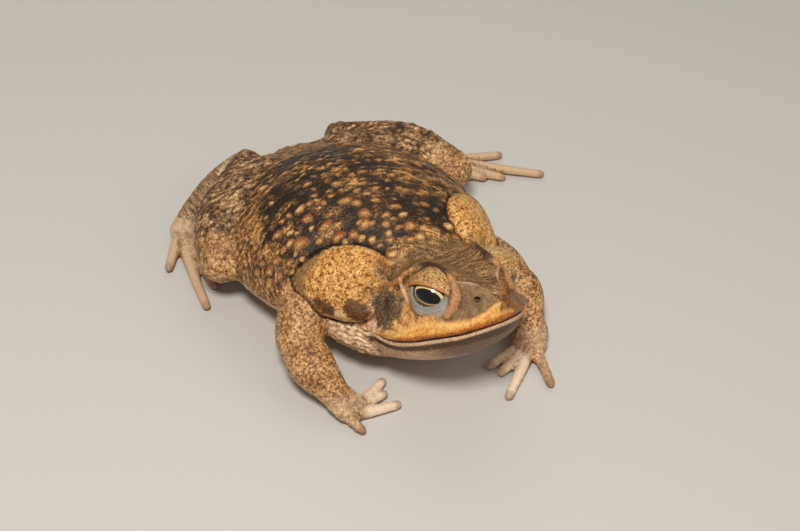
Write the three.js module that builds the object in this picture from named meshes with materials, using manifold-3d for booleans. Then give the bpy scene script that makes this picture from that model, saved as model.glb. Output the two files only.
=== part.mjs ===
// A life-size cane toad at rest: chest raised on the forelegs, head up, hind legs folded against the flanks.
// Millimetres, +Z up, the snout towards +X and the toad's left side towards +Y, standing on z = 0.
// It is drawn from a point under its back, and moved at the end so that the origin lies under its middle.
import * as THREE from "three";
import { mergeVertices } from "three/addons/utils/BufferGeometryUtils.js";
import Module from "manifold-3d";

const wasm = await Module();
wasm.setup();

// Driving sizes
const GAP = 0.3; // kept between neighbouring pieces
const EYEBALL = 7.1; // radius of the eyeball
const UPPER_LID = 1.3; // thickness of the lids
const LOWER_LID = 0.8;
const TYMPANUM = [3.6, 4.7]; // half width and half height of the eardrum
const LARGE = 2.8; // radii of the warts
const MIDDLE = 2.3;
const SMALL = 1.8;
const WART_HEIGHT = 0.62; // height of a wart over its radius
const WART_COUNT = 72; // on the back, in all
const WEB = 1.2; // thickness of the web between the toes
const WEB_HEIGHT = 1.6; // of its underside over the floor
const SEED = 20251;

const vec = (x, y, z) => new THREE.Vector3(x, y, z);
const radians = (degrees) => THREE.MathUtils.degToRad(degrees);

// Seeded random numbers from 0 to 1
let randomState = SEED;
function random() {
  randomState = (randomState * 1664525 + 1013904223) % 4294967296;
  return randomState / 4294967296;
}

// A closed mesh as a solid, its skin moved outwards by grow
function solidOf(geometry, grow = 0) {
  const bare = geometry.clone();
  bare.deleteAttribute("normal");
  bare.deleteAttribute("uv");
  const merged = mergeVertices(bare, 1e-4);
  merged.computeVertexNormals();
  const { position, normal } = merged.attributes;
  for (let i = 0; i < position.count; i++) {
    position.setXYZ(
      i,
      position.getX(i) + grow * normal.getX(i),
      position.getY(i) + grow * normal.getY(i),
      position.getZ(i) + grow * normal.getZ(i),
    );
  }
  return new wasm.Manifold(
    new wasm.Mesh({
      numProp: 3,
      vertProperties: new Float32Array(position.array),
      triVerts: new Uint32Array(merged.index.array),
    }),
  );
}

const joined = (solids) => solids.reduce((sum, solid) => sum.add(solid));

// What a cut leaves is the largest piece
function largest(solid) {
  return solid.decompose().reduce((best, piece) => (piece.volume() > best.volume() ? piece : best));
}

// A sphere drawn out ring by ring: place(0 to 1 along, 0 to 1 around) gives each vertex, both ends are points
function drawnOut(sides, rings, place) {
  const geometry = new THREE.SphereGeometry(1, sides, rings);
  const position = geometry.attributes.position;
  for (let ring = 0; ring <= rings; ring++) {
    for (let side = 0; side <= sides; side++) {
      const p = place(ring / rings, (side % sides) / sides);
      position.setXYZ(ring * (sides + 1) + side, p.x, p.y, p.z);
    }
  }
  return geometry;
}

// A smooth curve through a list of numbers, s counting from the first
function smooth(values, s) {
  const i = Math.min(Math.max(Math.floor(s), 0), values.length - 2);
  const at = (n) => values[Math.min(Math.max(n, 0), values.length - 1)];
  const t = s - i;
  const slope = (at(i + 1) - at(i - 1)) / 2;
  const nextSlope = (at(i + 2) - at(i)) / 2;
  return (
    (2 * t ** 3 - 3 * t ** 2 + 1) * at(i) +
    (t ** 3 - 2 * t ** 2 + t) * slope +
    (-2 * t ** 3 + 3 * t ** 2) * at(i + 1) +
    (t ** 3 - t ** 2) * nextSlope
  );
}

// A body of oval sections along X. Each row has x, the middle y, the height z of the widest line,
// the half width w there, the reach up and down from it, and how round the upper half is: 2 is an ellipse,
// less is more like a roof.
function ovalPoint(rows, along, around) {
  const s = along * (rows.length - 1);
  const row = (key) => smooth(rows.map((r) => r[key]), s);
  const turn = -2 * Math.PI * around;
  const isUpper = Math.sin(turn) > 0;
  const power = 2 / (isUpper ? row("round") : 2);
  const reach = Math.max(isUpper ? row("up") : row("down"), 0);
  return vec(
    row("x"),
    row("y") + Math.max(row("w"), 0) * Math.sign(Math.cos(turn)) * Math.abs(Math.cos(turn)) ** power,
    row("z") + reach * Math.sign(Math.sin(turn)) * Math.abs(Math.sin(turn)) ** power,
  );
}

const ovalBody = (rows, sides, rings) =>
  drawnOut(sides, rings, (along, around) => ovalPoint(rows, along, around));

// A body of drawn sections along X. Each row has x and the left half of its outline from the top middle
// to the bottom middle as [y, z] points; the right half is its mirror image.
function outlinedBody(rows, sides, rings) {
  const count = rows[0].outline.length;
  const loop = 2 * (count - 1);
  const pointAt = (row, n) => {
    const k = ((n % loop) + loop) % loop;
    const [y, z] = row.outline[k < count ? k : loop - k];
    return k < count ? [y, z] : [-y, z];
  };
  return drawnOut(sides, rings, (along, around) => {
    const s = along * (rows.length - 1);
    const u = around * loop;
    const i = Math.floor(u);
    const near = [-1, 0, 1, 2].map((step) => rows.map((row) => pointAt(row, i + step)));
    const coordinate = (axis) => {
      const values = near.map((points) => smooth(points.map((p) => p[axis]), s));
      return smooth(values, 1 + u - i);
    };
    return vec(smooth(rows.map((r) => r.x), s), coordinate(0), coordinate(1));
  });
}

// A round-ended limb through points, with a radius at each, wide across and high upwards
function limb(points, radii, { sides = 12, rings = 8, caps = 2, wide = 1, high = 1 } = {}) {
  const curve = new THREE.CatmullRomCurve3(
    points.map((p) => vec(...p)),
    false,
    "centripetal",
  );
  const all = rings + 2 * caps;
  return drawnOut(sides, all, (along, around) => {
    const ring = Math.round(along * all);
    const t = THREE.MathUtils.clamp((ring - caps) / rings, 0, 1);
    const endTurn = (Math.PI / 2) * Math.min(ring / caps, (all - ring) / caps, 1);
    const outwards = ring < caps ? -1 : 1;
    const radius = smooth(radii, t * (radii.length - 1));
    const forwards = curve.getTangent(t);
    const across = vec(0, 0, 1).cross(forwards).normalize();
    const upwards = forwards.clone().cross(across);
    const turn = -2 * Math.PI * around;
    return curve
      .getPoint(t)
      .addScaledVector(forwards, outwards * Math.cos(endTurn) * radius * high)
      .addScaledVector(across, Math.cos(turn) * Math.sin(endTurn) * radius * wide)
      .addScaledVector(upwards, Math.sin(turn) * Math.sin(endTurn) * radius * high);
  });
}

// An ellipsoid at a point, its third axis along a direction
function dome(centre, radii, direction, { sides = 12, rings = 8 } = {}) {
  const turn = new THREE.Quaternion().setFromUnitVectors(vec(0, 0, 1), direction.clone().normalize());
  return new THREE.SphereGeometry(1, sides, rings)
    .rotateX(Math.PI / 2)
    .applyMatrix4(new THREE.Matrix4().compose(centre, turn, vec(...radii)));
}

// A box in a given frame, its lower and upper corners given
function block(low, high, frame = new THREE.Matrix4()) {
  return new THREE.BoxGeometry(high[0] - low[0], high[1] - low[1], high[2] - low[2])
    .translate((low[0] + high[0]) / 2, (low[1] + high[1]) / 2, (low[2] + high[2]) / 2)
    .applyMatrix4(frame);
}

// Torso: a broad flat back falling to the vent, the belly on the floor behind, the chest raised
const torsoRows = [
  { x: -56, y: 0, z: 12, w: 0, up: 0, down: 0, round: 2 },
  { x: -53, y: 0, z: 13, w: 9, up: 6, down: 8, round: 2 },
  { x: -46, y: -1, z: 14, w: 18, up: 9.5, down: 13, round: 2 },
  { x: -37, y: -2, z: 15, w: 27, up: 14, down: 15.6, round: 2 },
  { x: -26, y: -2.5, z: 16, w: 35, up: 20.5, down: 16.8, round: 2 },
  { x: -13, y: -3, z: 17, w: 42, up: 26, down: 17.8, round: 1.95 },
  { x: 1, y: -3, z: 18, w: 45.5, up: 28.5, down: 18.6, round: 1.85 },
  { x: 14, y: -2.5, z: 18.5, w: 43.5, up: 28.5, down: 18, round: 1.8 },
  { x: 25, y: -1, z: 18, w: 38.5, up: 27.5, down: 14, round: 1.75 },
  { x: 35, y: 0, z: 17, w: 34.5, up: 26.5, down: 11, round: 1.7 },
  { x: 43, y: 0, z: 16.5, w: 32, up: 25.5, down: 10.5, round: 1.7 },
  { x: 50, y: 0, z: 17.5, w: 26, up: 17, down: 9.5, round: 2 },
  { x: 55, y: 0, z: 19, w: 0, up: 0, down: 0, round: 2 },
];

// Warts of the back, as x, y and radius: the ones that stand out, then seeded ones in the room left between
const MAIN_WARTS = [
  [13, -33, LARGE], [4, -37, MIDDLE], [7, -27, MIDDLE], [0, -12, LARGE], [9, -14, LARGE], [17, -11, LARGE],
  [22, -13, LARGE], [22, -19, MIDDLE], [14, -25, LARGE], [2, -27, MIDDLE], [-4, -25, SMALL], [6, -21, SMALL],
  [-1, -1, MIDDLE], [9, -3, SMALL], [1, -44, SMALL], [15, -38, SMALL], [12, -44, MIDDLE], [-21, -28, LARGE],
  [-10, -36, SMALL], [19, -2, LARGE], [25, -1, MIDDLE], [30, -1, LARGE], [35, 1, LARGE], [35, -11, MIDDLE],
  [-13, -10, SMALL], [-7, -7, SMALL], [32, 13, LARGE], [28, -14, SMALL], [21, 10, SMALL], [13, 7, MIDDLE],
  [4, 7, LARGE], [-3, 15, SMALL], [15, 25, LARGE], [8, 21, SMALL],
];
const plainTorso = new THREE.Mesh(ovalBody(torsoRows, 26, 22));

// The wart that stands at (x, y) on the upper side of the torso
function wartAt([x, y, radius]) {
  const [hit] = new THREE.Raycaster(vec(x, y, 100), vec(0, 0, -1)).intersectObject(plainTorso);
  return hit && { point: hit.point, outwards: hit.face.normal, radius };
}
const warts = MAIN_WARTS.map(wartAt);
while (warts.length < WART_COUNT) {
  const wart = wartAt([-46 + 82 * random(), -44 + 88 * random(), random() < 0.4 ? MIDDLE : SMALL]);
  const isClear = (other) => other.point.distanceTo(wart.point) > other.radius + wart.radius + 1.6;
  if (wart && wart.outwards.z > 0.3 && warts.every(isClear)) warts.push(wart);
}
const wartDome = ({ point, outwards, radius }) =>
  dome(point, [radius, radius, radius * WART_HEIGHT], outwards, { sides: 6, rings: 3 });
const torso = (grow) =>
  joined([solidOf(plainTorso.geometry, grow), ...warts.map((wart) => solidOf(wartDome(wart), grow))]);

// Head, drawn in its own frame: the origin midway between the eyes, X to the snout
const headFrame = new THREE.Matrix4()
  .makeTranslation(57.8, 0, 44)
  .multiply(new THREE.Matrix4().makeRotationZ(radians(1.5)))
  .multiply(new THREE.Matrix4().makeRotationY(radians(-27)))
  .multiply(new THREE.Matrix4().makeRotationX(radians(-1.3)));
const inHead = (x, y, z) => vec(x, y, z).applyMatrix4(headFrame);
const headDirection = (x, y, z) => vec(x, y, z).transformDirection(headFrame);
const headRows = [
  { x: -46, outline: [[0, -10], [0, -10], [0, -10], [0, -10], [0, -10], [0, -10]] },
  { x: -43, outline: [[0, -3], [10, -4], [15, -8], [17, -13], [12, -19], [0, -21]] },
  { x: -35, outline: [[0, 2.5], [13, 1.5], [21, -4.5], [23.5, -13], [18, -23], [0, -26.5]] },
  { x: -26, outline: [[0, 4.2], [12, 4], [21.5, -3], [25.6, -13.4], [20, -25], [0, -28.5]] },
  { x: -18, outline: [[0, 4.2], [10.5, 5], [20.4, -4], [25.6, -13.3], [20, -24.8], [0, -28.2]] },
  { x: -10, outline: [[0, 3.7], [9.6, 6.2], [18.4, -4.8], [24.6, -12.8], [18.6, -23.6], [0, -27.2]] },
  { x: -2, outline: [[0, 3.4], [9.2, 6.8], [16.6, -5.4], [22.6, -12.2], [16.6, -22], [0, -25.6]] },
  { x: 5, outline: [[0, 3.1], [8.4, 5.2], [13.6, -4.4], [18.6, -11.5], [14, -20], [0, -23]] },
  { x: 11, outline: [[0, 2.5], [6.8, 3.2], [10.2, -4], [13.8, -10.8], [10.4, -17.2], [0, -19.6]] },
  { x: 15.6, outline: [[0, 1.1], [4.8, 1], [7.2, -4], [9.2, -10.3], [6.8, -14.4], [0, -16]] },
  { x: 18.6, outline: [[0, -1.4], [3, -1.8], [4.4, -5.2], [4.6, -10], [3.4, -12.4], [0, -13.2]] },
  { x: 19.6, outline: [[0, -7.4], [0, -7.4], [0, -7.4], [0, -7.4], [0, -7.4], [0, -7.4]] },
];

const NOSTRIL_FACES = { sides: 8, rings: 4 };

// The lower jaw and throat lie under a rising mouth plane that ends behind the corners of the mouth
const mouthFrame = new THREE.Matrix4()
  .copy(headFrame)
  .multiply(new THREE.Matrix4().makeTranslation(0, 0, -13.6))
  .multiply(new THREE.Matrix4().makeRotationY(radians(-9.6)));
const MOUTH_BACK = -24;
const jawBlock = (grow) => solidOf(block([MOUTH_BACK - grow, -60, -60], [60, 60, grow], mouthFrame));
const headBody = (grow) => solidOf(outlinedBody(headRows, 26, 19).applyMatrix4(headFrame), grow);
const lowerJaw = (grow) => headBody(grow).intersect(jawBlock(grow));
const nostril = (side) =>
  dome(inHead(14.6, 6 * side, -1.4), [0.9, 0.9, 2.2], headDirection(0.35, 0.75 * side, 0.45), NOSTRIL_FACES);

// The upper lip swells along the mouth, and a bony crest rings each eye from the snout to the eardrum
function headTrim(side, grow) {
  const place = (points) => points.map(([x, y, z]) => inHead(x, y * side, z).toArray());
  const lip = limb(
    place([
      [-19, 23.8, -13],
      [-8, 22.6, -12.4],
      [3, 18, -11.2],
      [11, 12.4, -10],
      [15, 6.4, -9.2],
      [17, 0, -8.8],
    ]),
    [1.5, 1.8, 1.8, 1.8, 1.8, 1.8],
    { sides: 6, rings: 8 },
  );
  const crest = limb(
    place([[-14, 17.4, 0.6], [-9.6, 12, 5.6], [-3, 9, 6.6], [4, 8.2, 5.4], [9, 9.6, 2], [9.4, 12, -4.4]]),
    [1.2, 1.7, 1.7, 1.6, 1.4, 1.1],
    { sides: 6, rings: 8 },
  );
  const canthus = limb(
    place([[8, 9, 2.4], [12, 6.8, 2], [16, 4.8, 0.2]]),
    [1.2, 1.2, 0.9],
    { sides: 6, rings: 3 },
  );
  const cornerSwelling = new THREE.SphereGeometry(2.6, 8, 5).translate(...inHead(-21, 23.6 * side, -12));
  return [lip, crest, canthus, cornerSwelling].map((geometry) => solidOf(geometry, grow));
}
const head = (grow) =>
  joined([headBody(grow), ...headTrim(-1, grow), ...headTrim(1, grow)])
    .subtract(solidOf(nostril(-1)))
    .subtract(solidOf(nostril(1)));

// Eyes look outwards and a little forwards, between a domed upper lid and a thin lower lid
const eyeFrame = (side, tilt) =>
  new THREE.Matrix4()
    .makeTranslation(...inHead(0.5, 11.6 * side, -1.2).toArray())
    .multiply(new THREE.Matrix4().extractRotation(headFrame))
    .multiply(new THREE.Matrix4().makeRotationX(radians(tilt * side)));
const ball = (side, radii, grow) =>
  solidOf(new THREE.SphereGeometry(1, 14, 9).scale(...radii).applyMatrix4(eyeFrame(side, 0)), grow);
const eyeball = (side, grow) => ball(side, [EYEBALL, EYEBALL, EYEBALL], grow);
function eyelid(side, grow, thickness, tilt, low, high) {
  const outer = EYEBALL + thickness;
  const slice = solidOf(block([-20, -20, low - grow], [20, 20, high + grow], eyeFrame(side, tilt)));
  return ball(side, [outer + 0.3, outer, outer], grow).intersect(slice).subtract(eyeball(side, GAP - grow));
}
const upperLid = (side, grow) => eyelid(side, grow, UPPER_LID, 28, 2, 20);
const lowerLid = (side, grow) => eyelid(side, grow, LOWER_LID, -28, -20, 0.2);

// The eardrum is a shallow oval disc behind the eye
const tympanum = (side, grow) =>
  solidOf(
    new THREE.SphereGeometry(1, 12, 6)
      .scale(TYMPANUM[0], 1.6, TYMPANUM[1])
      .rotateX(radians(26 * side))
      .rotateZ(radians(14 * side))
      .translate(-14.4, 20 * side, -5.2)
      .applyMatrix4(headFrame),
    grow,
  );

// The parotoid gland, a great raised cushion over the shoulder, tapering backwards
const parotoidRows = [
  { x: -18, y: -1, z: 0, w: 0, up: 0, down: 0, round: 2 },
  { x: -15, y: -1, z: 0, w: 5, up: 3, down: 4, round: 2 },
  { x: -9, y: -0.5, z: 0, w: 9.6, up: 4.8, down: 5, round: 2 },
  { x: 0, y: 0, z: 0, w: 12.6, up: 5.8, down: 6, round: 2 },
  { x: 8, y: 0.4, z: 0, w: 11.8, up: 5.6, down: 6, round: 2 },
  { x: 13.5, y: 1, z: 0, w: 8, up: 4.2, down: 5, round: 2 },
  { x: 16.5, y: 0, z: 0, w: 0, up: 0, down: 0, round: 2 },
];
const PAROTOID_MIDDLES = { [-1]: [32, -27.2, 32.4], 1: [28.5, 25.6, 33] }; // the neck is turned a little
function parotoid(side, grow) {
  const forwards = vec(24, -18 * side, 7).normalize();
  const across = vec(-13, -13 * side, 19);
  across.addScaledVector(forwards, -across.dot(forwards)).normalize();
  const outwards = across.clone().cross(forwards).multiplyScalar(side);
  const frame = new THREE.Matrix4()
    .makeBasis(forwards, outwards.clone().cross(forwards), outwards)
    .setPosition(...PAROTOID_MIDDLES[side]);
  return solidOf(ovalBody(parotoidRows, 14, 11).applyMatrix4(frame), grow);
}

// Forelegs, right and left as they stand in the pose
const ARMS = {
  right: {
    upper: [[21, -28, 25], [26, -37, 20], [32, -43.5, 15]],
    fore: [[35, -44.5, 14.5], [44, -44.5, 12.5], [53, -41.5, 7.5]],
    palm: [[54, -41, 6.4], [58.5, -38.5, 4.2]],
    fingers: [
      [[58, -37.5, 3.4], [56, -31, 2.4], [52, -22, 2]],
      [[59, -37, 3.4], [58, -31, 2.4], [57, -24.5, 2]],
      [[60.5, -37.5, 3.2], [62, -31, 2.4], [63, -23, 2]],
      [[59, -40, 3.4], [63, -40, 2.4], [67, -39, 2]],
    ],
  },
  left: {
    upper: [[26, 24, 23], [31, 31, 19], [37, 36.5, 16]],
    fore: [[38, 36.5, 15], [47, 37.3, 12], [57, 34.5, 7.5]],
    palm: [[57, 35.5, 6.4], [62, 31, 4.2]],
    fingers: [
      [[61.5, 29.5, 3.4], [61.5, 23, 2.4], [62.5, 14.5, 2]],
      [[62.5, 29, 3.4], [65, 23, 2.4], [67, 16, 2]],
      [[64, 29.5, 3.2], [70.5, 21, 2.4], [77, 12, 2]],
      [[64, 32, 3.4], [71, 30.5, 2.4], [79, 28, 2]],
    ],
  },
};

// Hind legs, folded: the thigh forwards, the shank back over it, the long foot forwards again
const LEGS = {
  right: {
    thigh: [[-38, -14, 17], [-24, -34, 18], [-12, -45, 15]],
    shank: [[-10, -49, 17], [-26, -42, 19.5], [-50, -18, 19]],
    tarsus: [[-54, -18, 17], [-53, -30, 11], [-47, -43, 6]],
    sole: [[-46, -44, 5], [-42, -48, 3.6]],
    toes: [
      [[-41, -46, 3], [-36, -44, 2.2], [-30, -42, 2]],
      [[-40, -47, 3], [-31, -45.5, 2.2], [-22, -45, 2]],
      [[-40, -48, 3], [-27, -49, 2.2], [-14, -50, 2]],
      [[-40, -49, 3], [-24, -53.5, 2.2], [-6, -57, 2]],
      [[-42, -49, 3], [-36, -54.5, 2.2], [-29, -60, 2]],
    ],
  },
  left: {
    thigh: [[-38, 12, 17], [-26, 31, 19], [-17, 44, 17]],
    shank: [[-15, 48, 18], [-30, 38, 22.5], [-49, 20, 19.5]],
    tarsus: [[-52, 22, 17], [-48, 38, 11], [-40, 52, 6]],
    sole: [[-39, 54, 5], [-35, 60, 3.6]],
    toes: [
      [[-34, 60, 3], [-28, 62, 2.2], [-24, 65, 2]],
      [[-33, 61, 3], [-26, 66, 2.2], [-21, 70, 2]],
      [[-33, 62, 3], [-25, 70, 2.2], [-18, 77, 2]],
      [[-34, 63, 3], [-24, 77, 2.2], [-13, 92, 2]],
      [[-35, 62, 3], [-33, 73, 2.2], [-30, 84, 2]],
    ],
  },
};

const digits = (fingers, radii, grow) =>
  fingers.map((points) => solidOf(limb(points, radii, { sides: 7, rings: 3 }), grow));

// The web: a thin sheet from the sole to the middle of each toe, cut back between them
function web(sole, toes) {
  const root = new THREE.Vector2(...sole);
  const middles = toes.map(([, middle]) => new THREE.Vector2(...middle));
  const outline = new THREE.Shape([root]);
  middles.forEach((middle, n) => {
    if (n > 0) outline.lineTo(...middle.clone().add(middles[n - 1]).add(root).divideScalar(3));
    outline.lineTo(...middle);
  });
  return new THREE.ExtrudeGeometry(outline, { depth: WEB, bevelEnabled: false }).translate(0, 0, WEB_HEIGHT);
}

const upperArm = (name, grow) => solidOf(limb(ARMS[name].upper, [9.4, 9.2, 8], { rings: 4 }), grow);
const forearm = (name, grow) => solidOf(limb(ARMS[name].fore, [7.4, 7.8, 5], { rings: 5 }), grow);
const hand = (name, grow) =>
  joined([
    solidOf(limb(ARMS[name].palm, [4.8, 5], { sides: 10, rings: 3, wide: 1.2, high: 0.8 }), grow),
    ...digits(ARMS[name].fingers, [2.4, 1.8, 1.5], grow),
  ]);
const thigh = (name, grow) => solidOf(limb(LEGS[name].thigh, [12, 12.5, 8.5], { rings: 5 }), grow);
const shank = (name, grow) =>
  solidOf(limb(LEGS[name].shank, [8.5, 8.8, 5.6], { rings: 6, caps: 3 }), grow);
const tarsus = (name, grow) =>
  solidOf(limb(LEGS[name].tarsus, [4.6, 4.6, 4.2], { sides: 10, rings: 5 }), grow);
const foot = (name, grow) =>
  joined([
    solidOf(limb(LEGS[name].sole, [4.2, 4.6], { sides: 10, rings: 3, wide: 1.1, high: 0.8 }), grow),
    solidOf(web(LEGS[name].sole[1], LEGS[name].toes), grow),
    ...digits(LEGS[name].toes, [2.6, 1.9, 1.5], grow),
  ]);

// Every piece in the order in which it's cut: each gives way to all before it
const SKIN = { tan: 0x8f7142, dark: 0x5d4729, gold: 0xb98a3f, pale: 0xc2ae8b };
const pieces = [];
const SIDES = [
  { name: "right", sign: -1 },
  { name: "left", sign: 1 },
];
function eachSide(name, colour, shape) {
  for (const side of SIDES) {
    pieces.push({ name: `${name}_${side.name}`, colour, shape: (grow) => shape(side, grow) });
  }
}
eachSide("eye", 0x2a241a, (side, grow) => eyeball(side.sign, grow));
eachSide("upper_eyelid", 0xa58a55, (side, grow) => upperLid(side.sign, grow));
eachSide("lower_eyelid", 0x8d938f, (side, grow) => lowerLid(side.sign, grow));
eachSide("tympanum", 0x6b5a47, (side, grow) => tympanum(side.sign, grow));
eachSide("parotoid", SKIN.gold, (side, grow) => parotoid(side.sign, grow));
pieces.push({ name: "torso", colour: SKIN.dark, shape: torso });
pieces.push({ name: "lower_jaw", colour: SKIN.pale, shape: lowerJaw });
pieces.push({ name: "head", colour: SKIN.tan, shape: head });
eachSide("upper_arm", SKIN.tan, (side, grow) => upperArm(side.name, grow));
eachSide("forearm", SKIN.tan, (side, grow) => forearm(side.name, grow));
eachSide("hand", SKIN.pale, (side, grow) => hand(side.name, grow));
eachSide("thigh", SKIN.tan, (side, grow) => thigh(side.name, grow));
eachSide("shank", SKIN.tan, (side, grow) => shank(side.name, grow));
eachSide("tarsus", SKIN.pale, (side, grow) => tarsus(side.name, grow));
eachSide("foot", SKIN.pale, (side, grow) => foot(side.name, grow));

const underFloor = solidOf(block([-200, -200, -50], [200, 200, 0]));
const toad = new THREE.Group();
const grown = [];
for (const { name, colour, shape } of pieces) {
  const cut = grown.reduce((rest, other) => rest.subtract(other), shape(0));
  const mesh = largest(cut.subtract(underFloor)).getMesh();
  grown.push(shape(GAP));
  const geometry = new THREE.BufferGeometry();
  geometry.setAttribute("position", new THREE.BufferAttribute(mesh.vertProperties, 3));
  geometry.setIndex(new THREE.BufferAttribute(mesh.triVerts, 1));
  geometry.computeVertexNormals();
  const piece = new THREE.Mesh(
    geometry,
    new THREE.MeshStandardMaterial({ color: colour, roughness: 0.55, metalness: 0 }),
  );
  piece.name = name;
  toad.add(piece);
}

const middle = new THREE.Box3().setFromObject(toad).getCenter(vec(0, 0, 0));
toad.position.set(-middle.x, -middle.y, 0);

export default toad;
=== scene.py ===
"""A life-size cane toad at rest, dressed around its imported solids: one warty skin and two golden eyes."""

import math

import bmesh
import bpy
import numpy as np
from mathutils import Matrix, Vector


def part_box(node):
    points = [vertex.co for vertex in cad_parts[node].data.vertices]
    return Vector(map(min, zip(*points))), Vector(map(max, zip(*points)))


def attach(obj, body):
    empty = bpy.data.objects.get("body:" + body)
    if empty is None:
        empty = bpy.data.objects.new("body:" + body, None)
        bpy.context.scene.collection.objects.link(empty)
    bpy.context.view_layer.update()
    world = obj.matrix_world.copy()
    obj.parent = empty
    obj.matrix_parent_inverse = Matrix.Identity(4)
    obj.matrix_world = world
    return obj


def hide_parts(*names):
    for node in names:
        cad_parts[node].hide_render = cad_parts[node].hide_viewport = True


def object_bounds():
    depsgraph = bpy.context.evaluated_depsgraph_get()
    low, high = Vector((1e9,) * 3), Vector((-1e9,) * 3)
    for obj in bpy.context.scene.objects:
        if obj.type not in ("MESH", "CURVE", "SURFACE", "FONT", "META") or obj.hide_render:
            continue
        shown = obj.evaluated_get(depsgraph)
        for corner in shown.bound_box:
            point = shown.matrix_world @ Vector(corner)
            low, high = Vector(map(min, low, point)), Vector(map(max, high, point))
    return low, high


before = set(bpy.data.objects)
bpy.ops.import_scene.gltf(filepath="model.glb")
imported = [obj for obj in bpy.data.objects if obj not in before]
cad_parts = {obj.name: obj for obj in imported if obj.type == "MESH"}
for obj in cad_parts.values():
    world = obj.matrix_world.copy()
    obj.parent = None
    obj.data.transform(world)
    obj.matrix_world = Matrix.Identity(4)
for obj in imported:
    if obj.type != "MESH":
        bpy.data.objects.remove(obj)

import openvdb as vdb
from mathutils import Matrix, Vector

# The toad rests on a plain pale sheet. One soft lamp high beside the camera models the warts and leaves a
# short shadow, and two weaker ones fill the far side. The camera looks down past the toad's right shoulder.
CAD_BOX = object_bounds()
MM = 0.001
FLOOR_COLOUR = (0.60, 0.58, 0.55)
FLOOR_SHADE = 0.97
FLOOR_REACH = 6.0
CAMERA_AIM = (22, 2.2, 19.5)
CAMERA_DISTANCE = 515
CAMERA_ROUND, CAMERA_ABOVE, CAMERA_ROLL = (math.radians(turn) for turn in (52.5, 42.2, 7.3))
CAMERA_LENS = 67.77
FILM_WIDTH = 36
WARM_WHITE = (1.0, 0.96, 0.9)
SKY_STRENGTH = 0.22
# For each lamp: degrees round the toad and above the floor, metres away and across, watts, colour.
LAMPS = {
    "key": (42, 60, 0.9, 0.2, 6.4, (1.0, 0.965, 0.91)),
    "fill": (130, 40, 1.1, 0.9, 1.3, WARM_WHITE),
    "back": (235, 50, 1.1, 0.9, 1.6, WARM_WHITE),
}

# Places are in the toad's own frame, in millimetres round a point under its back. The head's frame is
# tipped up and turned a little in it, and both are found again here from the two eyeballs.
EYES_IN_HEAD = Vector((0.5, 0, -1.2))
HEAD_AT = Vector((57.8, 0, 44))
HEAD_TURN = (
    Matrix.Rotation(math.radians(1.5), 3, "Z")
    @ Matrix.Rotation(math.radians(-27), 3, "Y")
    @ Matrix.Rotation(math.radians(-1.3), 3, "X")
)
eye_middles = [sum(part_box(f"eye_{side}"), Vector()) / 2 for side in ("right", "left")]
HEAD_ORIGIN = (eye_middles[0] + eye_middles[1]) / 2 / MM - HEAD_TURN @ EYES_IN_HEAD
DRAWN_ORIGIN = HEAD_ORIGIN - HEAD_AT


def placed(x, y, z):
    """A point of the toad's own frame, in metres in the scene."""
    return (DRAWN_ORIGIN + Vector((x, y, z))) * MM


def looking_back(around, above):
    """The direction from what is looked at to what looks at it."""
    return Vector((math.sin(around) * math.cos(above), -math.cos(around) * math.cos(above), math.sin(above)))


def add(name, data):
    """A new object of the scene."""
    piece = bpy.data.objects.new(name, data)
    bpy.context.scene.collection.objects.link(piece)
    return piece


floor_mesh = bpy.data.meshes.new("floor")
corners = [(x * FLOOR_REACH, y * FLOOR_REACH, 0) for x, y in ((-1, -1), (1, -1), (1, 1), (-1, 1))]
floor_mesh.from_pydata(corners, [], [(0, 1, 2, 3)])
floor = add("floor", floor_mesh)

camera = add("camera", bpy.data.cameras.new("camera"))
camera.data.lens = CAMERA_LENS
camera.data.sensor_width = FILM_WIDTH
camera.data.clip_start = 0.01
aim = placed(*CAMERA_AIM)
toward_camera = looking_back(CAMERA_ROUND, CAMERA_ABOVE)
camera.location = aim + toward_camera * CAMERA_DISTANCE * MM
camera.rotation_mode = "QUATERNION"
rolled = Matrix.Rotation(CAMERA_ROLL, 3, "Z").to_quaternion()
camera.rotation_quaternion = toward_camera.to_track_quat("Z", "Y") @ rolled
bpy.context.scene.camera = camera

for name, (around, above, away, width, watts, colour) in LAMPS.items():
    light = bpy.data.lights.new(name, "AREA")
    light.shape = "DISK"
    light.size = width
    light.energy = watts
    light.color = colour
    bulb = add(name, light)
    toward_lamp = looking_back(math.radians(around), math.radians(above))
    bulb.location = aim + toward_lamp * away
    bulb.rotation_euler = toward_lamp.to_track_quat("Z", "Y").to_euler()

world = bpy.data.worlds.new("studio")
bpy.context.scene.world = world
world.use_nodes = True
sky = world.node_tree.nodes["Background"].inputs
sky["Color"].default_value = (*WARM_WHITE, 1)
sky["Strength"].default_value = SKY_STRENGTH
bpy.context.scene.view_settings.view_transform = "Standard"


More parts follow.
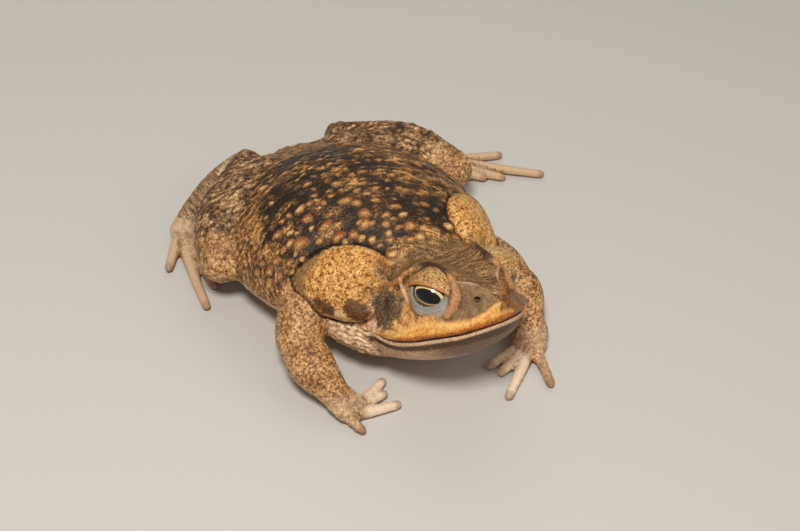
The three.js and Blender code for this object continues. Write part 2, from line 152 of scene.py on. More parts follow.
class Paint:
    """One output among a material's nodes. Sums and products of it add Math nodes."""

    def __init__(self, tree, output):
        self.tree = tree
        self.output = output

    def node(self, kind, settings=None, sockets=None, output=0):
        """Adds a node, its settings first and then its sockets, and gives one of its outputs."""
        made = self.tree.nodes.new(kind)
        for name, value in (settings or {}).items():
            if name == "stops":
                ramp = made.color_ramp
                while len(ramp.elements) < len(value):
                    ramp.elements.new(0.5)
                for stop, (position, colour) in zip(ramp.elements, value):
                    stop.position = position
                    stop.color = (*colour, 1)
            else:
                setattr(made, name, value)
        for name, value in (sockets or {}).items():
            if isinstance(value, Paint):
                self.tree.links.new(value.output, made.inputs[name])
            elif isinstance(value, tuple) and made.inputs[name].type == "RGBA":
                made.inputs[name].default_value = (*value, 1)
            else:
                made.inputs[name].default_value = value
        return Paint(self.tree, made.outputs[output])

    def math(self, operation, first, second=0.0):
        return self.node("ShaderNodeMath", {"operation": operation}, {0: first, 1: second})

    def __add__(self, other):
        return self.math("ADD", self, other)

    def __sub__(self, other):
        return self.math("SUBTRACT", self, other)

    def __rsub__(self, other):
        return self.math("SUBTRACT", other, self)

    def __mul__(self, other):
        return self.math("MULTIPLY", self, other)

    def __truediv__(self, other):
        return self.math("DIVIDE", self, other)

    def __pow__(self, other):
        return self.math("POWER", self, other)

    __radd__ = __add__
    __rmul__ = __mul__

    def off(self, value):
        """How far this lies from that value, on either side of it."""
        return self.math("ABSOLUTE", self - value)

    def step(self, low, high):
        """0 below low, 1 above high and smooth between; high may be the lower of the two."""
        limits = {"Value": self, "From Min": low, "From Max": high}
        return self.node("ShaderNodeMapRange", {"interpolation_type": "SMOOTHSTEP"}, limits)

    def over(self, under, colour):
        """The colour laid over what is under it, as thickly as this mask says."""
        layers = {"Factor": self, 6: under, 7: colour}
        return self.node("ShaderNodeMix", {"data_type": "RGBA"}, layers, output=2)


def new_material(name):
    """A material, its Principled shader and a first Paint to build its nodes from."""
    material = bpy.data.materials.new(name)
    material.use_nodes = True
    shader = material.node_tree.nodes["Principled BSDF"]
    return material, shader, Paint(material.node_tree, None)


def tone(red, green, blue):
    """A colour of a painter's card, 0 to 255, as the linear colour that a shader takes."""
    return tuple(
        c / 12.92 if c <= 0.04045 else ((c + 0.055) / 1.055) ** 2.4
        for c in (red / 255, green / 255, blue / 255)
    )


def connect(shader, socket, paint):
    shader.id_data.links.new(paint.output, shader.inputs[socket])


floor_material, floor_shader, paint = new_material("floor")
floor_shader.inputs["Roughness"].default_value = 0.9
mottle = paint.node("ShaderNodeTexNoise", {}, {"Scale": 3.0, "Detail": 3.0})
shaded_floor = tuple(c * FLOOR_SHADE for c in FLOOR_COLOUR)
connect(floor_shader, "Base Color", mottle.over(FLOOR_COLOUR, shaded_floor))
floor_mesh.materials.append(floor_material)

# The hide is one soft skin over the whole toad, lids and webs too, loose over the flesh below. Its form is
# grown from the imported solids: their distance fields are joined and softened until no facet shows, least on
# the head and the digits. A furrow parts each of the two great neck glands from the shoulder.
VOXEL = 0.5
FIELD_MARGIN = 4.0
FIELD_BAND = 12
HIDE_GROWTH = 0.2
SOFT, SOFTEST, LEAST_SOFT = 1.5, 3.0, 0.6
FURROW_DEPTH, FURROW_AT, FURROW_HALF = 0.7, 0.7, 0.6


def both(*parts):
    """The names of those nodes on the right and on the left."""
    return [f"{part}_{side}" for part in parts for side in ("right", "left")]


BODY_GROUPS = {
    "torso": ["torso"],
    "head": ["head"],
    "jaw": ["lower_jaw"],
    "glands": both("parotoid"),
    "arms": both("upper_arm", "forearm"),
    "hands": both("hand"),
    "legs": both("thigh", "shank"),
    "ankles": both("tarsus"),
    "feet": both("foot"),
}
DRAWN_FINELY = both("upper_eyelid", "lower_eyelid", "tympanum")
origin = np.array(DRAWN_ORIGIN)
box_low, box_high = (np.array(corner) / MM - origin for corner in CAD_BOX)
field_low = box_low - FIELD_MARGIN
field_shape = tuple(np.ceil((box_high - box_low + 2 * FIELD_MARGIN) / VOXEL).astype(int) + 1)


def distance_field(names):
    """How far each grid point lies outside those nodes, in millimetres, and negative inside."""
    field = np.full(field_shape, FIELD_BAND * VOXEL, np.float32)
    for name in names:
        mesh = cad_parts[name].data
        mesh.calc_loop_triangles()
        corners = np.empty((len(mesh.vertices), 3), np.float32)
        mesh.vertices.foreach_get("co", corners.ravel())
        triangles = np.empty((len(mesh.loop_triangles), 3), np.int32)
        mesh.loop_triangles.foreach_get("vertices", triangles.ravel())
        grid = vdb.FloatGrid.createLevelSetFromPolygons(
            (corners / MM - origin - field_low) / VOXEL,
            triangles=triangles.astype(np.uint32),
            transform=vdb.createLinearTransform(voxelSize=1),
            halfWidth=FIELD_BAND,
        )
        values = np.empty(field_shape, np.float32)
        grid.copyToArray(values)
        np.minimum(field, values * VOXEL, out=field)
    return field


def softened(field, spread):
    """The field blurred by a bell curve of that spread in millimetres."""
    reach = math.ceil(2.5 * spread / VOXEL)
    bell = np.exp(-0.5 * (np.arange(-reach, reach + 1) * VOXEL / spread) ** 2)
    bell = (bell / bell.sum()).astype(np.float32)
    for axis in range(3):
        edges = [(reach, reach) if a == axis else (0, 0) for a in range(3)]
        wide = np.moveaxis(np.pad(field, edges, mode="edge"), axis, 0)
        total = sum(weight * wide[i : i + field.shape[axis]] for i, weight in enumerate(bell))
        field = np.ascontiguousarray(np.moveaxis(total, 0, axis))
    return field


def eased(value, low, high):
    """The same step for an array."""
    t = np.clip((value - low) / (high - low), 0, 1)
    return t * t * (3 - 2 * t)


def hump(value, middle, width):
    """A bell curve, 1 at the middle."""
    return np.exp(-(((value - middle) / width) ** 2))


fields = {group: distance_field(names) for group, names in BODY_GROUPS.items()}
whole = np.minimum.reduce(list(fields.values())) - HIDE_GROWTH
fine_parts = np.minimum.reduce([fields[group] for group in ("head", "jaw", "hands", "feet")])
other_than_torso = np.minimum.reduce([fields[group] for group in fields if group != "torso"])
fineness = eased(fine_parts, 3.0, 0.5)
broadness = eased(other_than_torso, 1.0, 6.0)
hide_field = softened(whole, SOFT)
hide_field += broadness * (softened(whole, SOFTEST) - hide_field)
hide_field += fineness * (softened(whole, LEAST_SOFT) - hide_field)
grid_length = (field_low[0] + VOXEL * np.arange(field_shape[0])).astype(np.float32)
grid_height = (field_low[2] + VOXEL * np.arange(field_shape[2])).astype(np.float32)
no_furrow = eased(grid_length, 33, 38)[:, None, None] * eased(grid_height, 35, 38)[None, None, :]
hide_field += FURROW_DEPTH * hump(fields["glands"], FURROW_AT, FURROW_HALF) * (1 - no_furrow)


def sampled(field, spots):
    """The field's values at points of the toad's frame."""
    steps = (spots - field_low) / VOXEL
    base = np.clip(np.floor(steps).astype(np.int32), 0, np.array(field_shape) - 2)
    part = (steps - base).astype(np.float32)
    first = (base[:, 0] * field_shape[1] + base[:, 1]) * field_shape[2] + base[:, 2]
    flat = field.ravel()
    total = np.zeros(len(spots), np.float32)
    for corner in np.ndindex(2, 2, 2):
        share = np.ones(len(spots), np.float32)
        for axis in range(3):
            share *= part[:, axis] if corner[axis] else 1 - part[:, axis]
        total += share * flat[first + (corner[0] * field_shape[1] + corner[1]) * field_shape[2] + corner[2]]
    return total


# The hide of the head lies tight on the skull, whose bony crests ring each eye and run on to the snout. It
# is drawn on that form in the head's own frame: x runs to the snout and z to the crown, and both sides are
# alike, so y is the distance from the middle. Rows of a path are x, y, z and half its thickness.
EYEBALL = 7.1
EYE_MIDDLE = (0.5, 11.6, -1.2)
SOCKET = 7.75
UPPER_LID = {"plane": (-0.04, -0.44, 0.90), "along": (0.862, -0.473, -0.187), "edge": 2.4, "out": 8.4}
LOWER_LID = {"plane": (0.511, 0.600, 0.616), "edge": 4.75, "foot": 3.0, "out": 7.65}
LID_ARCH = 0.032
LEFT_LID_DROP = 2.2
LID_INNER_SIDE = 8.6
LID_FOLD = 8.8
CREST = [
    (-18.5, 21.0, 0.6, 0.2), (-14.8, 19.0, 0.9, 0.45), (-12.3, 17.3, 1.6, 0.5), (-10.9, 15.0, 3.8, 0.25),
    (-8.7, 12.2, 5.7, 0.1), (-6.2, 10.3, 6.5, 0.1), (-1.5, 9.2, 7.1, 0.3), (2.6, 8.8, 6.6, 0.4),
    (7.0, 8.6, 4.6, 0.7), (9.4, 8.8, 1.6, 0.95), (10.0, 9.7, -0.8, 1.0), (9.7, 11.0, -3.2, 0.95),
    (8.8, 13.0, -5.5, 0.6),
]
SOCKET_RIM = [
    (-11.0, 16.0, 2.6, 0.35), (-11.6, 15.7, 1.0, 0.3), (-10.9, 15.8, -0.4, 0.3), (-8.6, 16.5, -2.1, 0.3),
    (-5.8, 17.1, -3.9, 0.3), (-2.5, 18.2, -4.4, 0.3), (1.8, 18.0, -5.0, 0.25),
]
CANTHUS = [
    (8.4, 8.6, 3.4, 0.5), (10.5, 6.9, 3.1, 0.4), (12.1, 5.2, 2.8, 0.4), (13.7, 4.0, 2.0, 0.4),
    (15.3, 3.2, 1.0, 0.35), (16.6, 2.4, -0.3, 0.3), (17.8, 1.6, -1.9, 0.3), (18.7, 0.9, -4.0, 0.2),
]
PATH_BLENDS = ((CREST, 1.2), (SOCKET_RIM, 0.9), (CANTHUS, 0.7))
MOUTH_X = (-24, -16.5, -11, -7, 0, 5.4, 13.3, 18, 20)
MOUTH_Z = (-12.8, -13.8, -15.2, -15.3, -14.3, -13.2, -11.8, -10.2, -9.6)
MOUTH_CORNER = (-16.2, 24.2, -12.6)
CORNER_SIZE = 1.9
MUZZLE_HOLLOW = (12.6, 8.6, -3.6)
NOSTRIL = (16.1, 5.5, -1.2)
NOSTRIL_SIZE = 1.15
DRUM_MIDDLE = (-13.2, 21.6, -4.6)
DRUM_OUT = Vector((0.1, 0.85, 0.52)).normalized()
DRUM_UP = DRUM_OUT.cross(Vector((-0.27, -0.45, 0.85)).cross(DRUM_OUT)).normalized()
DRUM_AXES = (DRUM_UP.cross(DRUM_OUT), DRUM_UP, DRUM_OUT)
DRUM_HALF = (3.0, 4.4)
DRUM_FLOOR, DRUM_WALL = 4.6, 4.4
HEAD_BACK = -27
HEAD_AXES = np.array(HEAD_TURN)


def in_head(spots):
    """Points of the toad's frame in the head's frame."""
    return (spots - np.array(HEAD_AT)) @ HEAD_AXES


def to_path(x, y, z, path):
    """How far points lie from a round path, less its half thickness."""
    nearest = np.full(x.shape, 1e3, x.dtype)
    for (ax, ay, az, a), (bx, by, bz, b) in zip(path, path[1:]):
        dx, dy, dz = bx - ax, by - ay, bz - az
        t = ((x - ax) * dx + (y - ay) * dy + (z - az) * dz) / (dx * dx + dy * dy + dz * dz)
        t = np.clip(t, 0, 1)
        away = np.sqrt((x - ax - t * dx) ** 2 + (y - ay - t * dy) ** 2 + (z - az - t * dz) ** 2)
        np.minimum(nearest, away - a - t * (b - a), out=nearest)
    return nearest


def merged(first, second, blend):
    """Two forms joined with a fillet of about that width."""
    t = np.clip(0.5 + 0.5 * (second - first) / blend, 0, 1)
    return second + t * (first - second) - blend * t * (1 - t)


def cut(first, second, blend):
    """The first form without the second, with its edge rounded over."""
    return -merged(-first, second, blend)


def toward(x, y, z, middle, axis):
    """How far points lie from the middle in the direction of the axis."""
    return (x - middle[0]) * axis[0] + (y - middle[1]) * axis[1] + (z - middle[2]) * axis[2]


def above_upper_lid(x, y, z):
    """How far points lie above the eye's middle, where the upper lid's edge arches over the pupil."""
    along = toward(x, y, z, EYE_MIDDLE, UPPER_LID["along"])
    return toward(x, y, z, EYE_MIDDLE, UPPER_LID["plane"]) + LID_ARCH * along**2


def to_ball(x, y, z, middle):
    return np.sqrt((x - middle[0]) ** 2 + (y - middle[1]) ** 2 + (z - middle[2]) ** 2)


def over_mouth(x, z):
    """How far points lie above the line of the mouth."""
    return z - np.interp(x, MOUTH_X, MOUTH_Z).astype(np.float32)


def with_face(depth, x, y, z):
    """The hide's depth at points of the head, with lids, crests, lips, nostrils and eardrums."""
    lid_drop = np.where(y > 0, LEFT_LID_DROP, 0).astype(np.float32)
    y = np.abs(y)
    across, upward, out = drum_place(x, y, z)
    from_drum = np.sqrt(across**2 + (upward * 0.8) ** 2)
    beyond = np.maximum(from_drum - DRUM_WALL, 0)
    depth = cut(depth, (beyond * 0.9 + beyond**2 * 0.12 - out) / 1.3, 1.6)
    depth = merged(depth, np.maximum(from_drum - DRUM_FLOOR, np.abs(out + 2.0) - 1.8), 1.2)
    from_eye = to_ball(x, y, z, EYE_MIDDLE)
    over_lower = toward(x, y, z, EYE_MIDDLE, LOWER_LID["plane"])
    over_upper = above_upper_lid(x, y, z) + lid_drop
    depth = cut(depth, np.maximum(from_eye - SOCKET, LOWER_LID["foot"] - over_lower), 0.3)
    for path, blend in PATH_BLENDS:
        depth = merged(depth, to_path(x, y, z, path), blend)
    fold = 0.3 * hump(from_eye, LID_FOLD, 0.35) * eased(over_upper, 3, 5)
    depth = depth + fold * eased(y, LID_INNER_SIDE, 9.6)
    lower = np.maximum(from_eye - LOWER_LID["out"], over_lower - LOWER_LID["edge"])
    depth = merged(depth, lower, 2.0)
    upper = -merged(UPPER_LID["out"] - from_eye, over_upper - UPPER_LID["edge"], 0.5)
    depth = merged(depth, np.maximum(upper, LID_INNER_SIDE - y), 0.5)
    rise = over_mouth(x, z)
    lips = 0.8 * hump(rise, 0, 0.3) - 0.45 * hump(rise, 2.1, 1.5) - 0.35 * hump(rise, -1.1, 0.7)
    lips += 0.35 * hump(rise, -2.9, 0.9)
    depth = depth + lips * eased(x, -19, -14).astype(np.float32)
    depth = merged(depth, to_ball(x, y, z, MOUTH_CORNER) - CORNER_SIZE, 1.2)
    depth = depth + 0.5 * hump(to_ball(x, y, z, MUZZLE_HOLLOW), 0, 3.2)
    depth = depth - 0.55 * hump(to_ball(x, y, z, NOSTRIL), 1.3, 0.9)
    depth = cut(depth, to_ball(x, y * 0.8 + 1.1, z, NOSTRIL) - NOSTRIL_SIZE, 0.4)
    drum = drum_reach(x, y, z)
    depth = depth + 0.4 * hump(drum, 0.3, 0.45) - 0.12 * hump(drum, 1.0, 0.2)
    return np.maximum(depth, EYEBALL - 0.2 - from_eye)


def drum_place(x, y, z):
    """How far points lie across, up and out from the middle of the eardrum."""
    return [toward(x, y, z, DRUM_MIDDLE, axis) for axis in DRUM_AXES]


def drum_reach(x, y, z):
    """0 at the middle of the eardrum and 1 at its rim."""
    across, upward, out = drum_place(x, y, z)
    return np.sqrt((across / DRUM_HALF[0]) ** 2 + (upward / DRUM_HALF[1]) ** 2 + (out / 6) ** 2)


def hide_depth(spots):
    """How far points lie outside the finished hide, before its warts."""
    depth = sampled(hide_field, spots)
    face = in_head(spots).astype(np.float32)
    near = face[:, 0] > HEAD_BACK
    depth[near] = with_face(depth[near], *face[near].T)
    return np.maximum(depth, -spots[:, 2])


# One net of square faces is drawn over the whole hide. On the head and the neck glands, where small forms
# lie close together, it is twice as fine. Each of its points then settles on the hide's surface.
HEAD_CORNER = (36, -36, 8)
FINE_NET_BACK, FINE_NET_UNDER = -23, -22
SETTLE_ROUNDS, SETTLE_MOST = 3, 0.4

head_from = np.floor((np.array(HEAD_CORNER) - field_low) / VOXEL).astype(int)
head_slab = tuple(slice(start, None) for start in head_from)
grid_axes = [field_low[a] + VOXEL * np.arange(head_from[a], field_shape[a]) for a in range(3)]
grid_spots = np.stack(np.meshgrid(*grid_axes, indexing="ij"), axis=-1).reshape(-1, 3)
face_field = hide_field.copy()
face_field[head_slab] = hide_depth(grid_spots).reshape(face_field[head_slab].shape)
np.maximum(face_field, -grid_height[None, None, :], out=face_field)
hide_grid = vdb.FloatGrid(background=FIELD_BAND * VOXEL)
hide_grid.copyFromArray(face_field)
points, quads = hide_grid.convertToQuads(isovalue=0)
spots = points.astype(np.float64) * VOXEL + field_low
quads = quads.astype(np.int64)
middles = spots[quads].mean(axis=1)
face_middles = in_head(middles)
chosen = (face_middles[:, 0] > FINE_NET_BACK) & (face_middles[:, 2] > FINE_NET_UNDER)
chosen |= sampled(fields["glands"], middles) < 0.5
borders = np.sort(np.stack([quads, np.roll(quads, -1, axis=1)], axis=2).reshape(-1, 2), axis=1)
border_keys = borders[:, 0] * len(spots) + borders[:, 1]
split_keys = np.unique(border_keys[np.repeat(chosen, 4)])
ends = np.stack(np.divmod(split_keys, len(spots)), axis=1)
found = np.clip(np.searchsorted(split_keys, border_keys), 0, len(split_keys) - 1)
halfway = np.where(split_keys[found] == border_keys, len(spots) + found, -1).reshape(-1, 4)
hubs = len(spots) + len(split_keys) + np.arange(chosen.sum())
spots = np.concatenate([spots, spots[ends].mean(axis=1), middles[chosen]])
small = [
    np.stack([quads[chosen, i], halfway[chosen, i], hubs, halfway[chosen, i - 1]], axis=1) for i in range(4)
]
touched = ~chosen & (halfway >= 0).any(axis=1)
hide_faces = quads[~chosen & ~touched].tolist() + np.concatenate(small).tolist()
for corners, halves in zip(quads[touched].tolist(), halfway[touched].tolist()):
    hide_faces.append([v for pair in zip(corners, halves) for v in pair if v >= 0])


def depth_slopes(spots, step=0.12):
    """The way out of the hide at those points, and how steep it is."""
    rises = [hide_depth(spots + apart) - hide_depth(spots - apart) for apart in np.eye(3) * step]
    return np.stack([rise / (2 * step) for rise in rises], axis=1)


for _ in range(SETTLE_ROUNDS):
    slope = depth_slopes(spots)
    steepness = np.maximum((slope**2).sum(1), 0.1)
    spots -= (np.clip(hide_depth(spots) / steepness, -SETTLE_MOST, SETTLE_MOST))[:, None] * slope
slope = depth_slopes(spots)
outward = slope / np.maximum(np.linalg.norm(slope, axis=1, keepdims=True), 1e-6)

# The hide of the back is dark brown skin broken into rings of tan streaks, and covered with granules:
# coarse and drawn out across the back and legs, finer on the arms. Darker ground lies in patches between
# the warts, as x, y, z and half width, and the flanks are netted tan.
RING_NORMAL = (0.76, -0.20, 0.62)
GRANULE_DRAWS = ((12.9898, 78.233, 37.719), (39.346, 11.135, 83.155), (73.156, 52.235, 9.151))
COARSE_GRANULE, FINE_GRANULE = 1.5, 1.25
DRAWN_OUT = (1.0, 0.7, 0.8)
DARK_PLACES = [
    (-28, -12, 34, 4.0), (-9, -22, 41, 4.5), (-1, -17, 44, 4.0), (3, -30, 40, 3.6), (10, -25, 42, 2.2),
    (16, -16, 45, 3.2), (8, -19, 44, 2.6), (11, -1, 47, 3.0), (-5, 1, 45, 3.6), (-2, 3, 45, 3.0),
    (13, -35, 37, 3.6), (13, -30, 39, 2.0), (19, -30, 37, 2.4), (21, -25, 39, 2.0), (26, -17, 41, 2.2),
    (20, -18, 43, 2.6), (25, -11, 44, 2.6), (-28, -26, 30, 3.0), (-5, -33, 37, 3.4), (3, -38, 36, 2.6),
    (17, 1, 46, 3.0), (21, 2, 46, 3.8), (25, 1, 46, 2.8), (25, 10, 44, 3.2), (28, 11, 43, 2.2),
    (27, -13, 43, 1.8), (32, -13, 41, 1.8), (31, -6, 43, 1.6), (5, -14, 46, 1.8), (-10, -16, 42, 2.6),
    (-6, -28, 40, 2.6), (-11, -2, 44, 2.6), (-18, -4, 41, 2.2), (-12, -27, 38, 2.2), (-1, -24, 42, 1.8),
    (9, 3, 46, 1.8),
]

gaps = {group: sampled(field, spots) for group, field in fields.items()}
nearness = {group: np.exp(-np.maximum(gap, 0) / 0.9) for group, gap in gaps.items()}
nearness_sum = sum(nearness.values())
shares = {group: near / nearness_sum for group, near in nearness.items()}
face_spots = in_head(spots)
x, y, z = spots.T
fx, fy, fz = face_spots[:, 0], np.abs(face_spots[:, 1]), face_spots[:, 2]


def granules_of(places, size):
    """1 in the middle of each granule of about that size and 0 where granules meet."""
    cell = np.floor(places / size)
    part = places / size - cell
    nearest = np.full(len(places), 9.0)
    for corner in np.ndindex(3, 3, 3):
        step = np.array(corner) - 1.0
        drawn = [np.sin((cell + step) @ np.array(way)) * 43758.5 for way in GRANULE_DRAWS]
        jitter = np.stack([draw - np.floor(draw) for draw in drawn], axis=1)
        np.minimum(nearest, ((step + jitter - part) ** 2).sum(1), out=nearest)
    return np.clip(1 - np.sqrt(nearest) / 0.85, 0, 1)


coarse = granules_of(spots * DRAWN_OUT, COARSE_GRANULE)
arm_like = np.clip(shares["arms"] + shares["hands"] + shares["feet"], 0, 1)
granules = coarse + arm_like * (granules_of(spots, FINE_GRANULE) - coarse)
darkness = 0.34 + 0.12 * eased(x, 5, -25) - 0.10 * eased(x, 22, 34) - 0.12 * eased(z, 36, 26)
darkness += 0.20 * eased(fy, 4, 9) * eased(x, 15, 25) * (y > 0)
for px, py, pz, size in DARK_PLACES:
    darkness += 0.42 * np.exp(-(((x - px) ** 2 + ((y - py) * 0.7) ** 2 + ((z - pz) * 0.7) ** 2) / size**2))

hide_material, hide_shader, paint = new_material("hide")
marks = {}


def mark(name, values):
    """Keeps a value for each point of the hide, and gives the paint that reads it."""
    marks[name] = values
    return paint.node("ShaderNodeAttribute", {"attribute_name": name}, output=2)


def noise(place, scale, detail=2.0, rough=0.5, warp=0.0):
    """Cloudy noise about 0.5; the scale is in cycles for each unit of the place."""
    read = {"Vector": place, "Scale": scale, "Detail": detail, "Roughness": rough, "Distortion": warp}
    return paint.node("ShaderNodeTexNoise", {}, read)


def cells(place, scale, ragged=1.0):
    """0 in the middle of each granule, up to about 0.8 where granules meet."""
    return paint.node("ShaderNodeTexVoronoi", {}, {"Vector": place, "Scale": scale, "Randomness": ragged})


def vectors(operation, first, second, output=0):
    return paint.node("ShaderNodeVectorMath", {"operation": operation}, {0: first, 1: second}, output=output)


def wobbled(place, scale, reach):
    """The place pushed about, so that no granule stays a plain polygon."""
    push = paint.node("ShaderNodeTexNoise", {}, {"Vector": place, "Scale": scale, "Detail": 2.0}, output=1)
    push = vectors("SUBTRACT", push, (0.5, 0.5, 0.5))
    return vectors("ADD", place, vectors("MULTIPLY", push, (reach,) * 3))


def streaked(place, wavy, across, axis, squeeze):
    """A place to read noise at, which then changes fast only in the direction across."""
    run = paint.node("ShaderNodeCombineXYZ", {}, {axis: vectors("DOT_PRODUCT", wavy, across, output=1)})
    return vectors("ADD", vectors("MULTIPLY", place, squeeze), run)


def times(colour, strength):
    """The colour made lighter or darker."""
    return paint.node("ShaderNodeVectorMath", {"operation": "SCALE"}, {0: colour, "Scale": strength})


def ramp(value, *stops):
    """Colours that follow one another as the value rises, each given as its place and its tone."""
    toned = [(place, tone(*colour)) for place, colour in stops]
    return paint.node("ShaderNodeValToRGB", {"stops": toned}, {"Fac": value})


def speckled(dark, light):
    """Speckles of two tones."""
    return ramp(speckle, (0.35, dark), (0.65, light))


def broken(mask, grain, low, high):
    """The mask stepped from 0 at low to 1 at high, its edge broken up by that much grain."""
    return (mask + grit * grain).step(low, high)


def drift(scale):
    """Wide soft clouds about 0."""
    return noise(toad_place, scale, 3.0) - 0.5


toad_place = paint.node("ShaderNodeAttribute", {"attribute_name": "toad_place"}, output=1)
wavy_place = wobbled(toad_place, 0.35, 2.2)
ring_place = streaked(wavy_place, wavy_place, RING_NORMAL, "X", (0.0, 0.27, 0.27))
speckle = noise(toad_place, 1.9, 3.0, 0.62)
grit = speckle - 0.5
fine = noise(toad_place, 4.0, 2.0, 0.6)
cloud = noise(toad_place, 0.16, 3.0, 0.5)
fine_streaks = noise(ring_place, 1.25, 3.0, 0.62)
small_granules = cells(wobbled(toad_place, 1.1, 0.7), 1.35)
granule = mark("granule", granules)
seams = small_granules - 0.35
swell = granule - 0.42
wide = cloud - 0.5
gloom = mark("gloom", darkness)
back_light = 0.53 + (noise(ring_place, 0.42, 4.0, 0.6, 0.3) - 0.5) * 1.7 + (fine_streaks - 0.5) * 1.1
back_light = back_light - (gloom - 0.36) * 0.8 + wide * 0.5
back_light = back_light + grit * 0.8 + swell * 0.2 - seams * 0.25
back = ramp(
    back_light,
    (0.18, (34, 22, 11)), (0.35, (62, 42, 21)), (0.50, (106, 72, 35)),
    (0.64, (162, 112, 56)), (0.82, (220, 170, 102)),
)
flank_light = 0.52 + (fine_streaks - 0.5) * 1.3 + grit * 0.6 + swell * 0.5
flank = ramp(
    flank_light - seams * 0.3,
    (0.2, (66, 44, 25)), (0.4, (122, 82, 45)), (0.58, (174, 124, 72)), (0.8, (228, 182, 124)),
)
on_flank = mark("flank", eased(z, 34, 27) * eased(fx, -16, -20))
back = broken(on_flank, 0.4, 0.3, 0.7).over(back, flank)

# Warts are low domes of horny skin, most of them with a rusty or a dark cap towards the tail. Those of the
# back stand where they do on the real toad, as x, y, z and half width; between them, on the flanks and on
# the legs, a seeded scatter fills in. The granules between them stand less high on and beside a wart.
WARTS = {
    "dark": [
        (1, -13, 47, 2.2), (20, -2, 47, 2.0), (10, -3, 48, 1.8), (0, -2, 47, 1.7), (28, 6, 44, 1.4),
        (-11, -4, 44, 1.4),
    ],
    "rusty": [
        (10, -15, 47, 2.2), (18, -12, 46, 2.3), (23, -19, 43, 2.0), (20, -23, 41, 2.0), (8, -28, 42, 2.0),
        (5, -38, 37, 1.8), (-16, -14, 40, 1.4), (-6, -20, 43, 1.5), (15, -6, 47, 1.6), (16, -39, 33, 1.6),
        (12, -41, 31, 1.7), (12, -44, 28, 1.7), (1, -21, 44, 1.4), (5, -17, 45, 1.2), (6, -21, 45, 1.4),
        (3, -24, 42, 1.3), (22, 9, 45, 1.6), (14, -34, 38, 2.7), (15, -25, 43, 2.3), (-17, -8, 41, 1.4),
    ],
    "tan": [
        (13, -12, 46, 1.9), (22, -14, 45, 2.2), (17, -28, 39, 1.5), (22, -29, 38, 2.1), (8, -46, 25, 1.6),
        (2, -44, 30, 1.5), (28, -5, 44, 1.3), (31, -10, 43, 1.4), (40, -3, 42, 1.4), (38, -6, 42, 1.2),
        (40, 4, 42, 1.2), (23, -12, 45, 1.4), (25, -8, 45, 1.8), (8, -9, 46, 1.4), (11, -7, 47, 1.3),
        (0, -6, 46, 1.5), (-4, -6, 45, 1.3), (-11, -8, 43, 1.3), (2, 4, 46, 1.6), (6, 6, 46, 1.5),
        (13, 4, 46, 1.4), (20, -15, 44, 1.3), (2, -31, 39, 1.4), (2, -34, 38, 1.2), (11, -38, 34, 1.4),
        (8, -44, 28, 1.3), (16, -42, 28, 1.3), (8, -48, 20, 1.3), (12, -46, 20, 1.2), (-5, 8, 44, 1.4),
        (30, -2, 46, 2.2), (34, -4, 43, 1.6), (22, -6, 46, 1.6), (-36, -4, 29, 1.4),
    ],
    "pale": [
        (3, -28, 42, 1.8), (-19, -29, 34, 2.1), (36, -12, 42, 2.0), (18, -35, 34, 1.3), (35, -1, 44, 2.0),
        (25, -1, 47, 1.5), (39, -11, 40, 1.4), (33, 12, 42, 1.9), (28, -15, 43, 1.5), (29, -9, 44, 1.5),
        (12, -28, 40, 1.2), (-8, -32, 37, 1.3), (8, -34, 38, 1.3), (11, -36, 36, 1.4), (18, -38, 30, 1.2),
        (22, -26, 39, 1.3), (23, -22, 40, 1.4), (25, -17, 42, 1.4),
    ],
}
CAP_WAY = np.array([-0.82, 0.27, 0.50])
WART_SHARE = 0.84
WART_RISE = 0.42
BODY_RELIEF = {"torso": 0.26, "legs": 0.34, "arms": 0.30, "ankles": 0.22}
FINE_RELIEF = {"glands": 0.08, "hands": 0.15, "feet": 0.12}
THROAT_RELIEF = 0.14

chance = np.random.default_rng(7)
wart_rows = []


def nearest_to(place):
    return int(np.argmin(((spots - place) ** 2).sum(1)))


def scatter(allowed, count, apart, sizes, tints):
    """Sows more warts on the allowed points, none nearer to another than both their sizes allow."""
    places = np.flatnonzero(allowed)
    for pick in chance.choice(places, count * 12):
        size = chance.uniform(*sizes)
        middle = spots[pick]
        taken = np.array([row[0] for row in wart_rows])
        reach = np.array([row[1] for row in wart_rows])
        if (np.sqrt(((taken - middle) ** 2).sum(1)) > (reach + size) * apart).all():
            wart_rows.append((middle, size, tints[chance.integers(len(tints))]))
            count -= 1
        if not count:
            break


for tint, rows in WARTS.items():
    for *place, size in rows:
        wart_rows.append((spots[nearest_to(place)], size * WART_SHARE, tint))
listed = len(wart_rows)
bare_back = (shares["torso"] > 0.7) & (z > 14) & (fx < -15)
scatter(bare_back & (y > 6), 70, 1.15, (1.2, 2.3), ("rusty", "tan", "rusty", "pale"))
scatter(bare_back & (y <= 6), 115, 1.1, (0.7, 1.4), ("rusty", "tan", "tan", "pale"))
scatter((shares["legs"] > 0.8) & (outward[:, 2] > -0.1), 90, 1.3, (0.8, 1.4), ("pale", "pale", "tan"))

